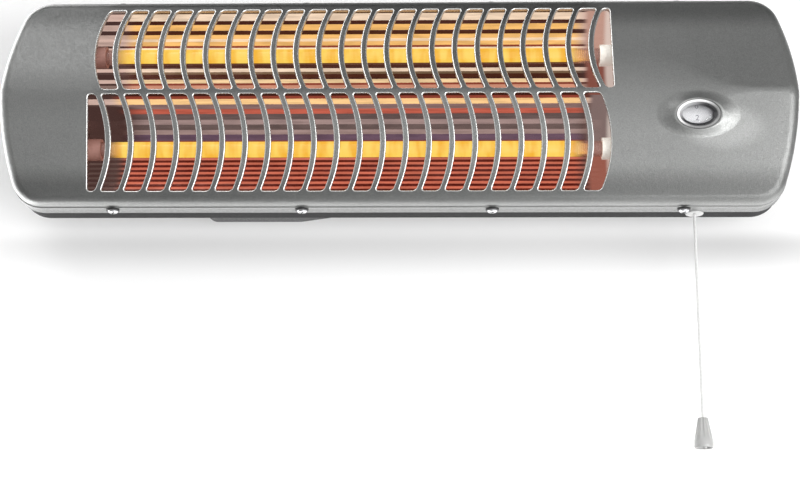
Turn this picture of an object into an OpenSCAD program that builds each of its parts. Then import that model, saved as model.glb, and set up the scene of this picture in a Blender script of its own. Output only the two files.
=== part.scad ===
// Electric bar heater for a wall, with two quartz tubes and a pull-cord switch.
// X runs along the heater, -Y is its front, +Z is up. The wall is the plane y = 0,
// and the origin is the middle of the wall bracket's two screw slots.

/* [Housing] */
// Width of the housing over its round ends
body_w = 528; // [500:1:560]
// Height of the housing at the cover's rear edge
body_h = 145; // [140:0.5:155]
// Radius of the arched ends
end_r = 194; // [160:1:220]
// Radius of the four corners
corner_r = 21; // [16:1:28]
// Thickness of the steel sheet
sheet_t = 0.8; // [0.6:0.1:1.2]
// Gap between sheets that slide into each other
sheet_gap = 0.3; // [0.2:0.05:0.5]
// Outer radius of the cover's rolled edges
edge_r = 7; // [4:0.5:8]
// Outer radius of the tray's edges
tray_edge_r = 3; // [2.5:0.5:5]
// Space between the wall and the back of the tray
wall_gap = 30; // [28:1:40]
// Depth of the tray that shows behind the cover
tray_band = 18; // [10:1:20]
// How far the tray's wall stays short of the cover's lip
tray_short = 1.5; // [1:0.1:2]

/* [Front cover] */
// Depth of the cover's side wall at its top and bottom
skirt_d = 19.5; // [18:0.5:24]
// How far the side wall leans in between its rear and front edges
skirt_lean = 0.6; // [0.5:0.1:5]
// Depth of the straight lip along the rear edge
lip_d = 11.5; // [11:0.5:12]
// Height of the step in front of the lip
lip_step = 0.5; // [0.3:0.1:0.8]
// How far the crease stands in front of the cover's edges
crease_rise = 17.6; // [14:0.2:22]
// Radius of the crease
crease_r = 10; // [6:1:14]

/* [Grille] */
// Middle of the grille along the heater
grille_x = -30.7; // [-40:0.1:-20]
// Number of curved bars in each row
bar_count = 22; // [10:1:22]
// Distance between neighbouring bars
bar_pitch = 15.1; // [14:0.1:15.1]
// Width of a bar
bar_w = 4; // [3:0.5:6]
// How far a bar bows sideways at its middle
bar_bow = 6.8; // [4:0.2:8]
// Where the openings start beside the crease
slot_start = 1.9; // [1.8:0.1:3]
// Where the upper openings end
slot_end_upper = 66; // [55:0.1:66]
// Where the lower openings end
slot_end_lower = 65.8; // [55:0.1:66]
// Corner radius of the openings
slot_r = 2; // [1:0.5:3]
// Depth of the rim that is folded in round each opening
rim_d = 2; // [1.5:0.1:2.5]

/* [Heating chamber] */
// Half of the length between the end plates
chamber_half = 178; // [176:1:182]
// Height of the tubes above and below the middle
tube_z = 33; // [31:0.5:36]
// Distance of the tubes behind the crease
tube_behind = 22.9; // [20:0.1:26]
// Outer diameter of a quartz tube
tube_d = 10.5; // [9:0.5:12]
// Wall of a quartz tube
tube_t = 1; // [0.8:0.1:1.4]
// Curls of the heating wire in each tube
coil_curls = 32; // [20:1:40]
// Diameter of the heating wire
coil_wire = 0.9; // [0.6:0.1:1.2]
// Clearance between the heating wire and its tube
coil_gap = 0.4; // [0.3:0.1:0.6]
// Unheated length at each tube end
cold_end = 14; // [8:1:20]
// Thickness of the reflector sheet
reflector_t = 0.5; // [0.4:0.1:0.8]
// Focal length of the reflector's curve
reflector_focus = 18; // [16:0.5:19]
// Fine flutes on the outer half of each reflector
flutes = 7; // [0:1:9]
// Depth of a flute
flute_d = 0.7; // [0.3:0.1:1]
// Diameter of a ceramic cap
cap_d = 14.6; // [13.5:0.1:16]
// Length of a ceramic cap inside the chamber
cap_len = 12; // [10:1:16]
// Length of a ceramic cap behind its end plate
cap_tail = 7; // [5:1:10]
// Diameter of a terminal pin
pin_d = 3; // [2.5:0.5:4]
// Length of a terminal pin outside its cap
pin_len = 11; // [10:1:14]

/* [Fasteners] */
// Distance between neighbouring cover screws
screw_pitch = 125.8; // [110:0.1:130]
// Distance of the cover screws from the cover's rear edge
screw_back = 7; // [6:0.5:7]
// Diameter of a cover screw
screw_d = 3.5; // [3:0.5:4]
// Diameter of a cover screw's head
screw_head_d = 7.5; // [6.5:0.1:8]
// Height of a cover screw's head
screw_head_h = 2.5; // [2:0.1:3]

/* [Window] */
// Middle of the switch window along the heater
window_x = 196.8; // [190:0.1:200]
// Distance of the window below the crease, along the face
window_v = 16.4; // [15:0.1:18]
// Width of the oval dish
dish_w = 28.5; // [26:0.5:30]
// Height of the oval dish
dish_h = 19; // [17:0.5:20]
// Width of the lens
lens_w = 20.4; // [18:0.2:21]
// Height of the lens
lens_h = 12; // [10:0.2:12.6]
// How far the metal swells round the dish
swell = 2.6; // [2:0.1:3]
// How far the swelling spreads sideways, and above and below the dish
swell_side = 14; // [10:0.5:16]
swell_above = 6.5; // [5:0.1:7]

/* [Switch] */
// Middle of the pull cord along the heater
cord_x = 197; // [195:0.5:200]
// Distance of the pull cord in front of the tray's back
cord_front = 14.5; // [14:0.1:16]
// Diameter of the pull cord
cord_d = 1.7; // [1.5:0.1:2.2]
// Length of cord below the bush
cord_drop = 138; // [100:0.5:200]
// Length of the cord knob
knob_h = 19.5; // [16:0.5:24]
// Largest diameter of the cord knob
knob_d = 12.6; // [10:0.2:15]
// Radius at which the cord pulls the sector round
sector_r = 19.4; // [19:0.2:20]
// Travel of the sector for one pull, in degrees
sector_turn = 40; // [30:1:40]
// Radius of the number drum
drum_r = 12.5; // [11:0.1:13]
// Width of the number drum
drum_w = 20; // [18:0.1:21]
// Diameter of the switch axle
axle_d = 5; // [4:0.5:6]
// Height of the switch frame's ears, and how far they reach past the axle
frame_ear_h = 18; // [14:1:22]
frame_ear_past = 7; // [5:0.5:9]
// Running clearance of shafts in their bores
run_gap = 0.06; // [0.02:0.01:0.1]
// Diameter of the cord bush's flange
bush_d = 12; // [10:0.5:14]
// Curls of the return spring
spring_curls = 7; // [5:1:8]
// Diameter of the return spring's wire
spring_wire = 0.7; // [0.5:0.1:0.8]
// Length of the return spring at rest
spring_len = 22; // [20:1:26]

/* [Wall bracket] */
// Distance from the middle to the outside of each ear
ear_x = 150; // [145:1:170]
// Thickness of the bracket and its ears
bracket_t = 2; // [1.5:0.5:3]
// Height of the bracket's back strip
strip_h = 24; // [20:1:30]
// Distance between the wall screw slots
wall_pitch = 200; // [150:5:240]
// Width of a wall screw slot
wall_slot_w = 5; // [4:0.5:6]
// Length of a wall screw slot
wall_slot_l = 14; // [10:1:20]
// Height of the tilt axis below the middle
pivot_drop = 45; // [42:1:48]
// Radius of the ears and lugs round the tilt axis
pivot_r = 8; // [7:0.5:9]
// Diameter of the clamp screws
clamp_d = 5; // [4:0.5:6]
// Diameter of the clamp screws' grips
grip_d = 21; // [18:1:22]
// Length of the clamp screws' grips
grip_w = 10; // [8:1:14]

/* [Terminal box] */
// Gap between the left lug and the terminal box
box_beside = 1.5; // [1:0.5:8]
// Width of the terminal box
box_w = 93; // [80:1:96]
// How far the terminal box's bottom is above the housing's bottom edge
box_above = 3.75; // [2.75:0.25:6.75]
// Height of the terminal box
box_h = 50; // [44:1:56]
// Depth of the terminal box behind the tray
box_d = 16; // [14:1:17]
// Wall of the terminal box
box_t = 2; // [1.5:0.5:2.5]
// Radius of the mains cable's hole in its gland
gland_bore_r = 3.6; // [3:0.1:4]
// Length of the gland outside the box
gland_len = 12; // [10:1:16]
// Distance of the gland from the box's right side
gland_side = 32; // [30:1:40]
// Length of the gland's thread inside the box
gland_thread = 9; // [8:0.5:11]

/* [Hidden] */

// Planes across the depth, from the wall to the front
tray_back_y = -wall_gap;
cover_rear_y = tray_back_y - tray_band;
tray_front_y = cover_rear_y - (lip_d - tray_short);
cover_edge_y = cover_rear_y - skirt_d;
crease_y = cover_edge_y - crease_rise;
inner_back_y = tray_back_y - sheet_t;
tube_y = crease_y + tube_behind;

// Slope of the two faces that meet in the crease
face_h = body_h / 2 - skirt_lean;
slope = atan(crease_rise / face_h);
slot_depth = 12;

// The outline's arcs: bottom corner, arched end, top corner of the right end
corner_z = body_h / 2 - corner_r;
arc_x = body_w / 2 - end_r;
corner_x = arc_x + sqrt(pow(end_r - corner_r, 2) - pow(corner_z, 2));
arc_half = atan2(corner_z, corner_x - arc_x);
corner_steps = 5;
arc_steps = 6;
edge_steps = 5;
edge_inset = skirt_lean + edge_r;
crease_half = (crease_r - edge_r) * sin(slope);
crease_angles = [for (k = [-2 : 2]) asin(crease_half * k / 2 / (end_r - edge_inset))];
stations = concat(
  [for (k = [0 : corner_steps - 1])
    [corner_x, -corner_z, corner_r, -90 + (90 - arc_half) * k / corner_steps]],
  [for (k = [-arc_steps : -1]) [arc_x, 0, end_r, arc_half * k / arc_steps]],
  [for (a = crease_angles) [arc_x, 0, end_r, a]],
  [for (k = [1 : arc_steps]) [arc_x, 0, end_r, arc_half * k / arc_steps]],
  [for (k = [1 : corner_steps])
    [corner_x, corner_z, corner_r, arc_half + (90 - arc_half) * k / corner_steps]]);

// Mechanism
tray_floor_z = -(body_h / 2 - sheet_t - sheet_gap);
tray_inner_floor_z = tray_floor_z + sheet_t;
cord_y = tray_back_y - cord_front;
axle_y = cord_y - sector_r;
axle_z = -window_v * cos(slope) + 0.6;
bush_r = 4;
bush_flange_h = 1.8;
bush_rise = 1.8; // of the bush above the tray's floor
spring_r = 3.3;
bush_top_z = tray_inner_floor_z + bush_rise;
stop_z = bush_top_z + spring_len;
knob_top_z = tray_floor_z - cord_drop;
cord_bore_r = cord_d / 2 + 0.4;
pivot_y = -wall_gap / 2;
pivot_z = -pivot_drop;
lug_beside = 0.5; // from the bracket's ear to the lug
lug_nut_w = 4;
lug_x = ear_x - bracket_t - lug_beside;
lug_foot_w = 14;
box_left = -lug_x + lug_foot_w + box_beside;
box_bottom = body_h / 2 - box_above;
box_top_z = box_h - box_bottom;
box_z = box_h / 2 - box_bottom;
gland_x = box_left + box_w - gland_side;
gland_y = tray_back_y + (box_d - box_t) / 2;
gland_r = gland_bore_r + 1.6;
gland_hex_r = gland_r + 1.1;
frame_t = 1.5;
frame_beside = 1.5; // from the sector to the frame's left ear
drum_beside = 0.7; // from the drum to the frame's right ear
frame_reach = 29; // of the frame's strip above and below the axle
wheel_w = 2.6;
wheel_beside = 0.4;
web_t = 3;
drum_left = window_x - drum_w / 2;
web_left = drum_left - wheel_w - wheel_beside - web_t;
frame_left = web_left - frame_beside - frame_t;
frame_right = drum_left + drum_w + drum_beside + frame_t;
cap_clear = 0.15;
cap_step = 1.2; // from a cap's collar in to the hole in the end plate
coil_r = tube_d / 2 - tube_t - coil_gap - coil_wire / 2;
chamber_left = grille_x - chamber_half;
chamber_right = grille_x + chamber_half;
screw_y = cover_rear_y - screw_back;

// ---------- shared shapes ----------

// A tube-like solid through rings of equally many points, with flat or given end faces.
// A looped one has no ends: its last ring runs on into its first, round an opening.
module skin(rings, caps = undef, looped = false) {
  n = len(rings[0]);
  last = (len(rings) - 1) * n;
  total = len(rings) * n;
  sides = [for (r = [0 : len(rings) - (looped ? 1 : 2)], i = [0 : n - 1], h = [0, 1])
    let (here = r * n, next = ((r + 1) * n) % total, j = (i + 1) % n)
    h == 0 ? [here + i, here + j, next + i] : [here + j, next + j, next + i]];
  flat = [[for (i = [n - 1 : -1 : 0]) i], [for (i = [0 : n - 1]) last + i]];
  ends = looped ? []
    : is_undef(caps) ? flat
    : concat([for (f = caps) [for (k = [len(f) - 1 : -1 : 0]) f[k]]],
        [for (f = caps) [for (v = f) last + v]]);
  polyhedron([for (ring = rings) for (p = ring) p], concat(sides, ends), convexity = 8);
}

// Strips across a pan's face, between the outline's right and left halves
pan_strips = let (n = len(stations)) [for (i = [0 : n - 2], h = [0, 1])
  h == 0 ? [i, i + 1, 2 * n - 2 - i] : [i, 2 * n - 2 - i, 2 * n - 1 - i]];

// Both halves of a ring: the right half upwards, then the left half downwards
function both_ends(right) = concat(right,
  [for (i = [len(right) - 1 : -1 : 0]) [-right[i][0], right[i][1], right[i][2]]]);

// The outline drawn in by d, in the plane y
function outline_ring(d, y) = both_ends([for (s = stations)
  [s[0] + (s[2] - d) * cos(s[3]), y, s[1] + (s[2] - d) * sin(s[3])]]);

// Depth at which a ball of radius r touches a roof-shaped face from behind
function ball_y(z, r, apex_y, roof, roof_r) = abs(z) < (roof_r - r) * sin(roof)
  ? apex_y + roof_r / cos(roof) - sqrt(pow(roof_r - r, 2) - z * z)
  : apex_y + abs(z) * tan(roof) + r / cos(roof);

// Tilt of that face at height z
function face_tilt(z, r, roof, roof_r) = roof_r <= r ? 0
  : asin(max(-1, min(1, z / (roof_r - r) / sin(roof))) * sin(roof));

// One ring of the rolled edge: share 0 is on the side wall and 1 is on the face
function edge_ring(share, inset, r_ball, r, apex_y, roof, roof_r) =
  both_ends([for (s = stations)
    let (cx = s[0] + (s[2] - inset) * cos(s[3]),
      cz = s[1] + (s[2] - inset) * sin(s[3]),
      tilt = face_tilt(cz, r_ball, roof, roof_r),
      wall = [cos(s[3]), 0, sin(s[3])],
      face = [0, -cos(tilt), sin(tilt)],
      between = acos(wall * face),
      toward = (sin((1 - share) * between) * wall + sin(share * between) * face)
        / sin(between))
    [cx, ball_y(cz, r_ball, apex_y, roof, roof_r), cz] + r * toward]);

function edge_rings(t, inset, r_ball, apex_y, roof, roof_r) =
  [for (k = [edge_steps : -1 : 0])
    edge_ring(k / edge_steps, inset, r_ball, r_ball - t, apex_y, roof, roof_r)];

function reversed(list) = [for (i = [len(list) - 1 : -1 : 0]) list[i]];

// A pressed sheet pan: outside from the face back to the rim, then the inside again
module pan(walls, wall_inner, inset, r_ball, apex_y, roof, roof_r) {
  outside = concat(edge_rings(0, inset, r_ball, apex_y, roof, roof_r), walls);
  inside = concat(edge_rings(sheet_t, inset, r_ball, apex_y, roof, roof_r), wall_inner);
  skin(concat(outside, reversed(inside)), pan_strips);
}

// A round wire or cord of radius r along points, with a flat end at each end
function ring_at(p, t, r, sides) =
  let (side = abs(t[2]) < 0.9 ? [0, 0, 1] : [1, 0, 0],
    u = cross(side, t) / norm(cross(side, t)),
    v = cross(t, u))
  [for (k = [0 : sides - 1]) p + r * (cos(360 * k / sides) * u - sin(360 * k / sides) * v)];

module swept(points, r, sides) {
  n = len(points);
  skin([for (i = [0 : n - 1])
    let (run = points[min(i + 1, n - 1)] - points[max(i - 1, 0)])
    ring_at(points[i], run / norm(run), r, sides)]);
}

// Centre line of a coil round the X axis: curls turns of radius r over a length
curl_rings = 8;
function coil_points(curls, r, length) = [for (i = [0 : curls * curl_rings])
  let (a = 360 * i / curl_rings)
  [length * i / (curls * curl_rings), r * cos(a), r * sin(a)]];

// A coil's cross-section stays square to the axis of the coil's own turn
module coil(curls, r, length, wire) {
  pitch = length / curls;
  lean = atan(pitch / (2 * PI * r));
  points = coil_points(curls, r, length);
  skin([for (i = [0 : len(points) - 1])
    let (a = 360 * i / curl_rings,
      out = [0, cos(a), sin(a)],
      side = [cos(lean), sin(lean) * sin(a), -sin(lean) * cos(a)])
    [for (k = [0 : 5])
      points[i] + wire / 2 * (cos(60 * k) * out + sin(60 * k) * side)]]);
}

// Least gap between one curl and the next, measured on the coil's own points
function coil_least_gap(curls, r, length, wire) =
  let (points = coil_points(curls, r, length))
  min([for (i = [0 : len(points) - curl_rings - 1], d = [-1 : 1])
    if (i + curl_rings + d < len(points))
      norm(points[i + curl_rings + d] - points[i])]) - wire;

// An oval of half axes a and b in the plane z, clockwise as seen from above
function oval(a, b, z, n = 40) =
  [for (i = [0 : n - 1]) [a * cos(360 * i / n), -b * sin(360 * i / n), z]];

// Puts children on the upper (1) or lower (-1) face: X along it, Y away from the crease,
// Z out of the face. The lower face is the upper one turned half round about the Y axis.
module on_face(side, x = 0) {
  translate([x, 0, 0])
    rotate([0, side > 0 ? 0 : 180, 0])
      translate([0, crease_y, 0])
        rotate([90 - slope, 0, 0])
          children();
}

// Turns a flat drawing so that it stands across the X axis: its X is -Y, its Y is Z
module across_x(x, length) {
  translate([x, 0, 0])
    rotate([90, 0, 0])
      rotate([0, 90, 0])
        linear_extrude(length)
          mirror([1, 0])
            children();
}

// A rod of radius r along X, from x over a length
module rod_x(x, y, z, r, length, fn = 48) {
  translate([x, y, z])
    rotate([0, 90, 0])
      cylinder(r = r, h = length, $fn = fn);
}

// ---------- wall bracket and tilt ----------

module ear_outline(r) {
  hull() {
    translate([-pivot_y, pivot_z])
      circle(r = r, $fn = 48);
    translate([0, -strip_h / 2])
      square([bracket_t, strip_h]);
  }
}

module wall_bracket() {
  color("dimgray") difference() {
    union() {
      translate([-ear_x, -bracket_t, -strip_h / 2])
        cube([2 * ear_x, bracket_t, strip_h]);
      across_x(ear_x - bracket_t, bracket_t)
        ear_outline(pivot_r);
      across_x(-ear_x, bracket_t)
        ear_outline(pivot_r);
    }
    rod_x(-ear_x - 1, pivot_y, pivot_z, clamp_d / 2 + run_gap, 2 * ear_x + 2);
    for (side = [-1, 1])
      translate([side * wall_pitch / 2, 1, 0])
        rotate([90, 0, 0])
          linear_extrude(bracket_t + 2) {
            square([wall_slot_l - wall_slot_w, wall_slot_w], center = true);
            for (end = [-1, 1])
              translate([end * (wall_slot_l - wall_slot_w) / 2, 0])
                circle(d = wall_slot_w, $fn = 32);
          }
  }
}

// Each lug is a bent angle: an ear on the tilt axis and a foot on the tray's back
module tilt_lug() {
  difference() {
    union() {
      across_x(lug_x - bracket_t, bracket_t)
        hull() {
          translate([-pivot_y, pivot_z])
            circle(r = pivot_r, $fn = 48);
          translate([wall_gap - bracket_t, pivot_z - pivot_r])
            square([bracket_t, 2 * pivot_r + 10]);
        }
      translate([lug_x - lug_foot_w, tray_back_y, pivot_z - pivot_r])
        cube([lug_foot_w - bracket_t, bracket_t, 2 * pivot_r + 10]);
    }
    rod_x(lug_x - bracket_t - 1, pivot_y, pivot_z, clamp_d / 2 + run_gap, bracket_t + 2);
  }
}

module tilt_lugs() {
  color("dimgray") {
    tilt_lug();
    mirror([1, 0, 0]) tilt_lug();
  }
}

module lug_nut() {
  start = lug_x - bracket_t - lug_nut_w;
  difference() {
    rod_x(start, pivot_y, pivot_z, clamp_d * 0.9, lug_nut_w, 6);
    rod_x(start - 1, pivot_y, pivot_z, clamp_d / 2 + run_gap, lug_nut_w + 2);
  }
}

module lug_nuts() {
  color("silver") {
    lug_nut();
    mirror([1, 0, 0]) lug_nut();
  }
}

module clamp_knob() {
  lobes = 6;
  lobe_r = 3.2;
  shank_start = lug_x - bracket_t - lug_nut_w - 3;
  color("#202124") {
    rod_x(shank_start, pivot_y, pivot_z, clamp_d / 2, ear_x + 1 - shank_start);
    difference() {
      rod_x(ear_x + 0.3, pivot_y, pivot_z, grip_d / 2, grip_w);
      for (k = [0 : lobes - 1])
        translate([0, pivot_y, pivot_z])
          rotate([360 * k / lobes, 0, 0])
            rod_x(ear_x + 2.3, 0, grip_d / 2 + 1, lobe_r, grip_w);
    }
  }
}

module clamp_knob_left() {
  mirror([1, 0, 0]) clamp_knob();
}

module clamp_knob_right() {
  clamp_knob();
}

// ---------- housing ----------

module screw_places() {
  for (k = [-1.5 : 1 : 1.5], side = [-1, 1])
    translate([k * screw_pitch, screw_y, 0])
      mirror([0, 0, side > 0 ? 0 : 1])
        children();
}

module back_tray() {
  inset = sheet_t + sheet_gap;
  color("#3a3b3d") difference() {
    mirror([0, 1, 0])
      pan([outline_ring(inset, -tray_front_y)],
        [outline_ring(inset + sheet_t, -tray_front_y)],
        inset + tray_edge_r, tray_edge_r, -tray_back_y, 0, 0);
    screw_places()
      cylinder(d = screw_d + 0.1, h = body_h, $fn = 24);
    translate([cord_x, cord_y, tray_floor_z - 1])
      cylinder(r = bush_r + 0.1, h = 4, $fn = 48);
    translate([box_left + box_w / 2, tray_back_y + 1, box_z])
      rotate([90, 0, 0])
        cylinder(r = 9, h = 4, $fn = 48);
  }
}

// One opening in the grille, grown by g: bowed sides, round corners, Y away from the crease
function bow_at(v, v0, v1) = bar_bow * (1 - pow((2 * v - v0 - v1) / (v1 - v0), 2));
function slot_side(v0, v1, g) =
  let (r = slot_r + g, a0 = v0 - g, a1 = v1 + g, n = 5)
  concat([for (a = [90 : -45 : 0]) [a0 + r * (1 - sin(a)), r * (1 - cos(a))]],
    [for (k = [1 : n - 1]) [a0 + r + (a1 - a0 - 2 * r) * k / n, 0]],
    [for (a = [0 : 45 : 90]) [a1 - r * (1 - sin(a)), r * (1 - cos(a))]]);

first_curve = -bar_count * bar_pitch / 2;
last_w = 6.8; // of the last opening, whose outer edge is straight
straight_edge = first_curve + bar_count * bar_pitch + last_w;
module opening(k, v0, v1, g) {
  side = slot_side(v0, v1, g);
  left = first_curve + k * bar_pitch + bar_w / 2 - g;
  right = first_curve + (k + 1) * bar_pitch - bar_w / 2 + g;
  ends_straight = k == bar_count;
  polygon(concat(
    [for (p = side) [left + p[1] - bow_at(p[0], v0, v1), p[0]]],
    reversed([for (p = side)
      ends_straight ? [straight_edge + g - p[1], p[0]]
        : [right - p[1] - bow_at(p[0], v0, v1), p[0]]])));
}

module openings(v1, g) {
  for (k = [0 : bar_count])
    opening(k, slot_start, v1, g);
}

// A row of openings with the rims folded in round them
module row_rims(side, v1) {
  on_face(side, grille_x)
    translate([0, 0, -sheet_t - rim_d])
      linear_extrude(rim_d + sheet_t - 0.2)
        openings(v1, sheet_t);
}

module row_cut(side, v1) {
  on_face(side, grille_x)
    translate([0, 0, -sheet_t - rim_d - 1])
      linear_extrude(slot_depth)
        openings(v1, 0);
}

// The soft swelling of the metal round the switch window, drawn in by t
module window_swell(t) {
  grow = [1, 0.84, 0.65, 0.46, 0.3];
  rise = [-0.6, 0.15, 0.55, 0.85, 1];
  on_face(-1, window_x)
    translate([0, window_v, -t])
      skin([for (i = [0 : len(grow) - 1])
        oval(dish_w / 2 + grow[i] * swell_side - t / 2, dish_h / 2 + grow[i] * swell_above - t / 2,
          rise[i] < 0 ? -sheet_t / 2 : swell * rise[i])]);
}

module window_hole() {
  on_face(-1, window_x)
    translate([0, window_v, -8])
      linear_extrude(16)
        polygon([for (p = oval(dish_w / 2, dish_h / 2, 0)) [p[0], p[1]]]);
}

module front_cover() {
  color("#8e9093") difference() {
    union() {
      pan([outline_ring(lip_step, cover_rear_y - lip_d),
          outline_ring(0, cover_rear_y - lip_d),
          outline_ring(0, cover_rear_y)],
        [outline_ring(lip_step + sheet_t, cover_rear_y - lip_d),
          outline_ring(sheet_t, cover_rear_y - lip_d),
          outline_ring(sheet_t, cover_rear_y)],
        edge_inset, edge_r, crease_y, slope, crease_r);
      row_rims(1, slot_end_upper);
      row_rims(-1, slot_end_lower);
      window_swell(0);
    }
    row_cut(1, slot_end_upper);
    row_cut(-1, slot_end_lower);
    window_swell(sheet_t);
    window_hole();
    translate([cord_x, cord_y, -body_h / 2 - 2])
      cylinder(r = bush_d / 2 + sheet_gap, h = 6, $fn = 48);
    screw_places()
      cylinder(d = screw_d + 0.4, h = body_h, $fn = 24);
  }
}

module cover_screw() {
  shank = 8;
  translate([0, 0, body_h / 2])
    difference() {
      union() {
        translate([0, 0, -shank])
          cylinder(d = screw_d, h = shank + 0.5, $fn = 24);
        intersection() {
          cylinder(d = screw_head_d, h = screw_head_h, $fn = 32);
          translate([0, 0, screw_head_h - screw_head_d])
            sphere(r = screw_head_d, $fn = 48);
        }
      }
      translate([0, 0, screw_head_h - 1])
        for (turn = [0, 90])
          rotate([0, 0, turn])
            translate([-2, -0.4, 0])
              cube([4, 0.8, 2]);
    }
}

module cover_screws() {
  color("gainsboro") screw_places() cover_screw();
}

// ---------- terminal box ----------

module box_outline(t) {
  taper = 4;
  round_r = 8;
  low = -box_bottom + t;
  hull() {
    translate([box_left + round_r, low - t + round_r])
      circle(r = round_r - t, $fn = 32);
    translate([box_left + box_w * 0.7, low])
      square(0.1);
    translate([box_left + box_w - t - 0.1, low + taper])
      square(0.1);
    translate([box_left + t, -box_bottom + box_h - t - 0.1])
      square([box_w - 2 * t, 0.1]);
  }
}

module terminal_box() {
  color("#1d1d1f") difference() {
    translate([0, tray_back_y + box_d, 0])
      rotate([90, 0, 0])
        linear_extrude(box_d)
          box_outline(0);
    translate([0, tray_back_y + box_d - box_t, 0])
      rotate([90, 0, 0])
        linear_extrude(box_d)
          box_outline(box_t);
    translate([gland_x, gland_y, box_top_z - box_t - 1])
      cylinder(r = gland_r + 0.1, h = box_t + 2, $fn = 48);
    box_screw_places()
      cylinder(d = screw_d + 0.2, h = box_d + 2, $fn = 24);
  }
  color("#1d1d1f") box_screw_places()
    difference() {
      translate([0, 0, 1])
        cylinder(r = screw_d / 2 + 2, h = box_d - 1, $fn = 32);
      cylinder(d = screw_d + 0.2, h = box_d + 2, $fn = 24);
    }
}

// The two screws that hold the box, seen from the wall: Z runs towards the tray
module box_screw_places() {
  for (x = [box_left + 9, box_left + box_w - 9])
    translate([x, tray_back_y + box_d, -box_bottom + box_h - 9])
      rotate([90, 0, 0])
        children();
}

module box_screws() {
  color("gainsboro") box_screw_places() {
    cylinder(d = screw_d, h = box_d - 0.2, $fn = 24);
    translate([0, 0, -screw_head_h])
      cylinder(d = screw_head_d, h = screw_head_h, $fn = 32);
  }
}

module block_places() {
  poles = 3;
  pole_w = 10;
  for (k = [0 : poles - 1])
    translate([box_left + 32 + k * pole_w, tray_back_y + box_d - box_t, box_z - 6])
      children();
}

module terminal_block() {
  color("ivory") difference() {
    union() block_places()
      translate([-5, -9, -8])
        cube([10, 9, 16]);
    block_places() {
      translate([0, -3, 4.5])
        rotate([90, 0, 0])
          cylinder(r = 2, h = 10, $fn = 24);
      translate([0, -3, -4.5])
        rotate([90, 0, 0])
          cylinder(r = 2, h = 10, $fn = 24);
      translate([0, -5.5, -9])
        cylinder(r = 1.6, h = 18, $fn = 24);
    }
  }
}

module block_screws() {
  color("#b08d3c") block_places()
    for (z = [-4.5, 4.5])
      translate([0, -3.1, z])
        rotate([90, 0, 0])
          cylinder(r = 1.9, h = 4.4, $fn = 24);
}

// The gland stands on the box's top: a threaded sleeve, a hexagon and a domed hexagon nut
module cable_gland() {
  hex_h = 3;
  color("#1d1d1f") translate([gland_x, gland_y, box_top_z]) difference() {
    union() {
      translate([0, 0, -gland_thread])
        cylinder(r = gland_r, h = gland_thread + gland_len - 0.5, $fn = 48);
      cylinder(r = gland_hex_r, h = hex_h, $fn = 6);
      intersection() {
        translate([0, 0, hex_h + 1])
          cylinder(r = gland_hex_r, h = gland_len - hex_h - 1, $fn = 6);
        cylinder(r1 = gland_hex_r + gland_len / 2, r2 = gland_r - 0.4, h = gland_len, $fn = 48);
      }
    }
    translate([0, 0, -gland_thread - 1])
      cylinder(r = gland_bore_r, h = gland_thread + gland_len + 2, $fn = 48);
  }
}

module gland_nut() {
  nut_w = 4;
  color("#1d1d1f") translate([gland_x, gland_y, box_top_z - box_t - nut_w]) difference() {
    cylinder(r = gland_hex_r, h = nut_w, $fn = 6);
    translate([0, 0, -1])
      cylinder(r = gland_r + run_gap, h = nut_w + 2, $fn = 48);
  }
}

// ---------- heating chamber ----------

plate_short = 3; // of the end plates inside the cover's sheet
plate_top = face_h - sheet_t - plate_short;

// The roof-shaped outline of an end plate, just behind the cover's folded rims
module plate_outline() {
  behind = sheet_t + rim_d + 0.4;
  shoulder_y = cover_edge_y + behind + 1.6;
  polygon([[-inner_back_y, -plate_top], [-shoulder_y, -plate_top], [-(crease_y + behind), 0],
    [-shoulder_y, plate_top], [-inner_back_y, plate_top]]);
}

module end_plate(x, outward) {
  foot = 9;
  difference() {
    union() {
      across_x(outward > 0 ? x : x - sheet_t, sheet_t)
        plate_outline();
      translate([outward > 0 ? x : x - foot, inner_back_y - sheet_t, -plate_top])
        cube([foot, sheet_t, 2 * plate_top]);
    }
    for (z = [-tube_z, tube_z])
      rod_x(x - sheet_t - 1, tube_y, z, cap_d / 2 - cap_step, 2 * sheet_t + 2);
    rod_x(x - sheet_t - 1, lead_hole_y, 0, lead_r + 0.4, 2 * sheet_t + 2, 24);
  }
}

module end_plate_left() {
  color("lightgray") end_plate(chamber_left, -1);
}

module end_plate_right() {
  color("lightgray") end_plate(chamber_right, 1);
}

// A reflector's line across the tube: a lip, the curve in flats with fine flutes, a lip
function reflector_curve(dz) = tube_y + reflector_focus - dz * dz / (4 * reflector_focus);
function reflector_line() =
  let (from_middle = 2.6, from_edge = 4.4, behind_crease = 1.4, behind_edge = 2.2, half = 8,
    inner = tube_z - from_middle, outer = face_h - from_edge - tube_z,
    y_in = crease_y + sheet_t + rim_d + behind_crease,
    y_out = cover_edge_y + sheet_t + rim_d + behind_edge)
  concat([[y_in, tube_z - inner]],
    [for (k = [3 : -1 : 0]) [reflector_curve(k * half), tube_z - k * half]],
    flutes == 0 ? [] : [for (k = [0 : 2 * flutes])
      let (dz = 4 + (outer - 8) * k / (2 * flutes))
      [reflector_curve(dz) + (k % 2 == 0 ? 0 : flute_d), tube_z + dz]],
    [[y_out, tube_z + outer]]);

// Unit normal of a line at point i, from its neighbours
function line_normal(p, i) =
  let (run = p[min(i + 1, len(p) - 1)] - p[max(i - 1, 0)])
  [run[1], -run[0]] / norm(run);

module reflector(side) {
  line = reflector_line();
  mirror([0, 0, side > 0 ? 0 : 1])
    across_x(chamber_left, 2 * chamber_half)
      polygon([for (p = concat(line,
          reversed([for (i = [0 : len(line) - 1]) line[i] + reflector_t * line_normal(line, i)])))
        [-p[0], p[1]]]);
}

module reflector_upper() {
  color("silver") reflector(1);
}

module reflector_lower() {
  color("silver") reflector(-1);
}

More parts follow.
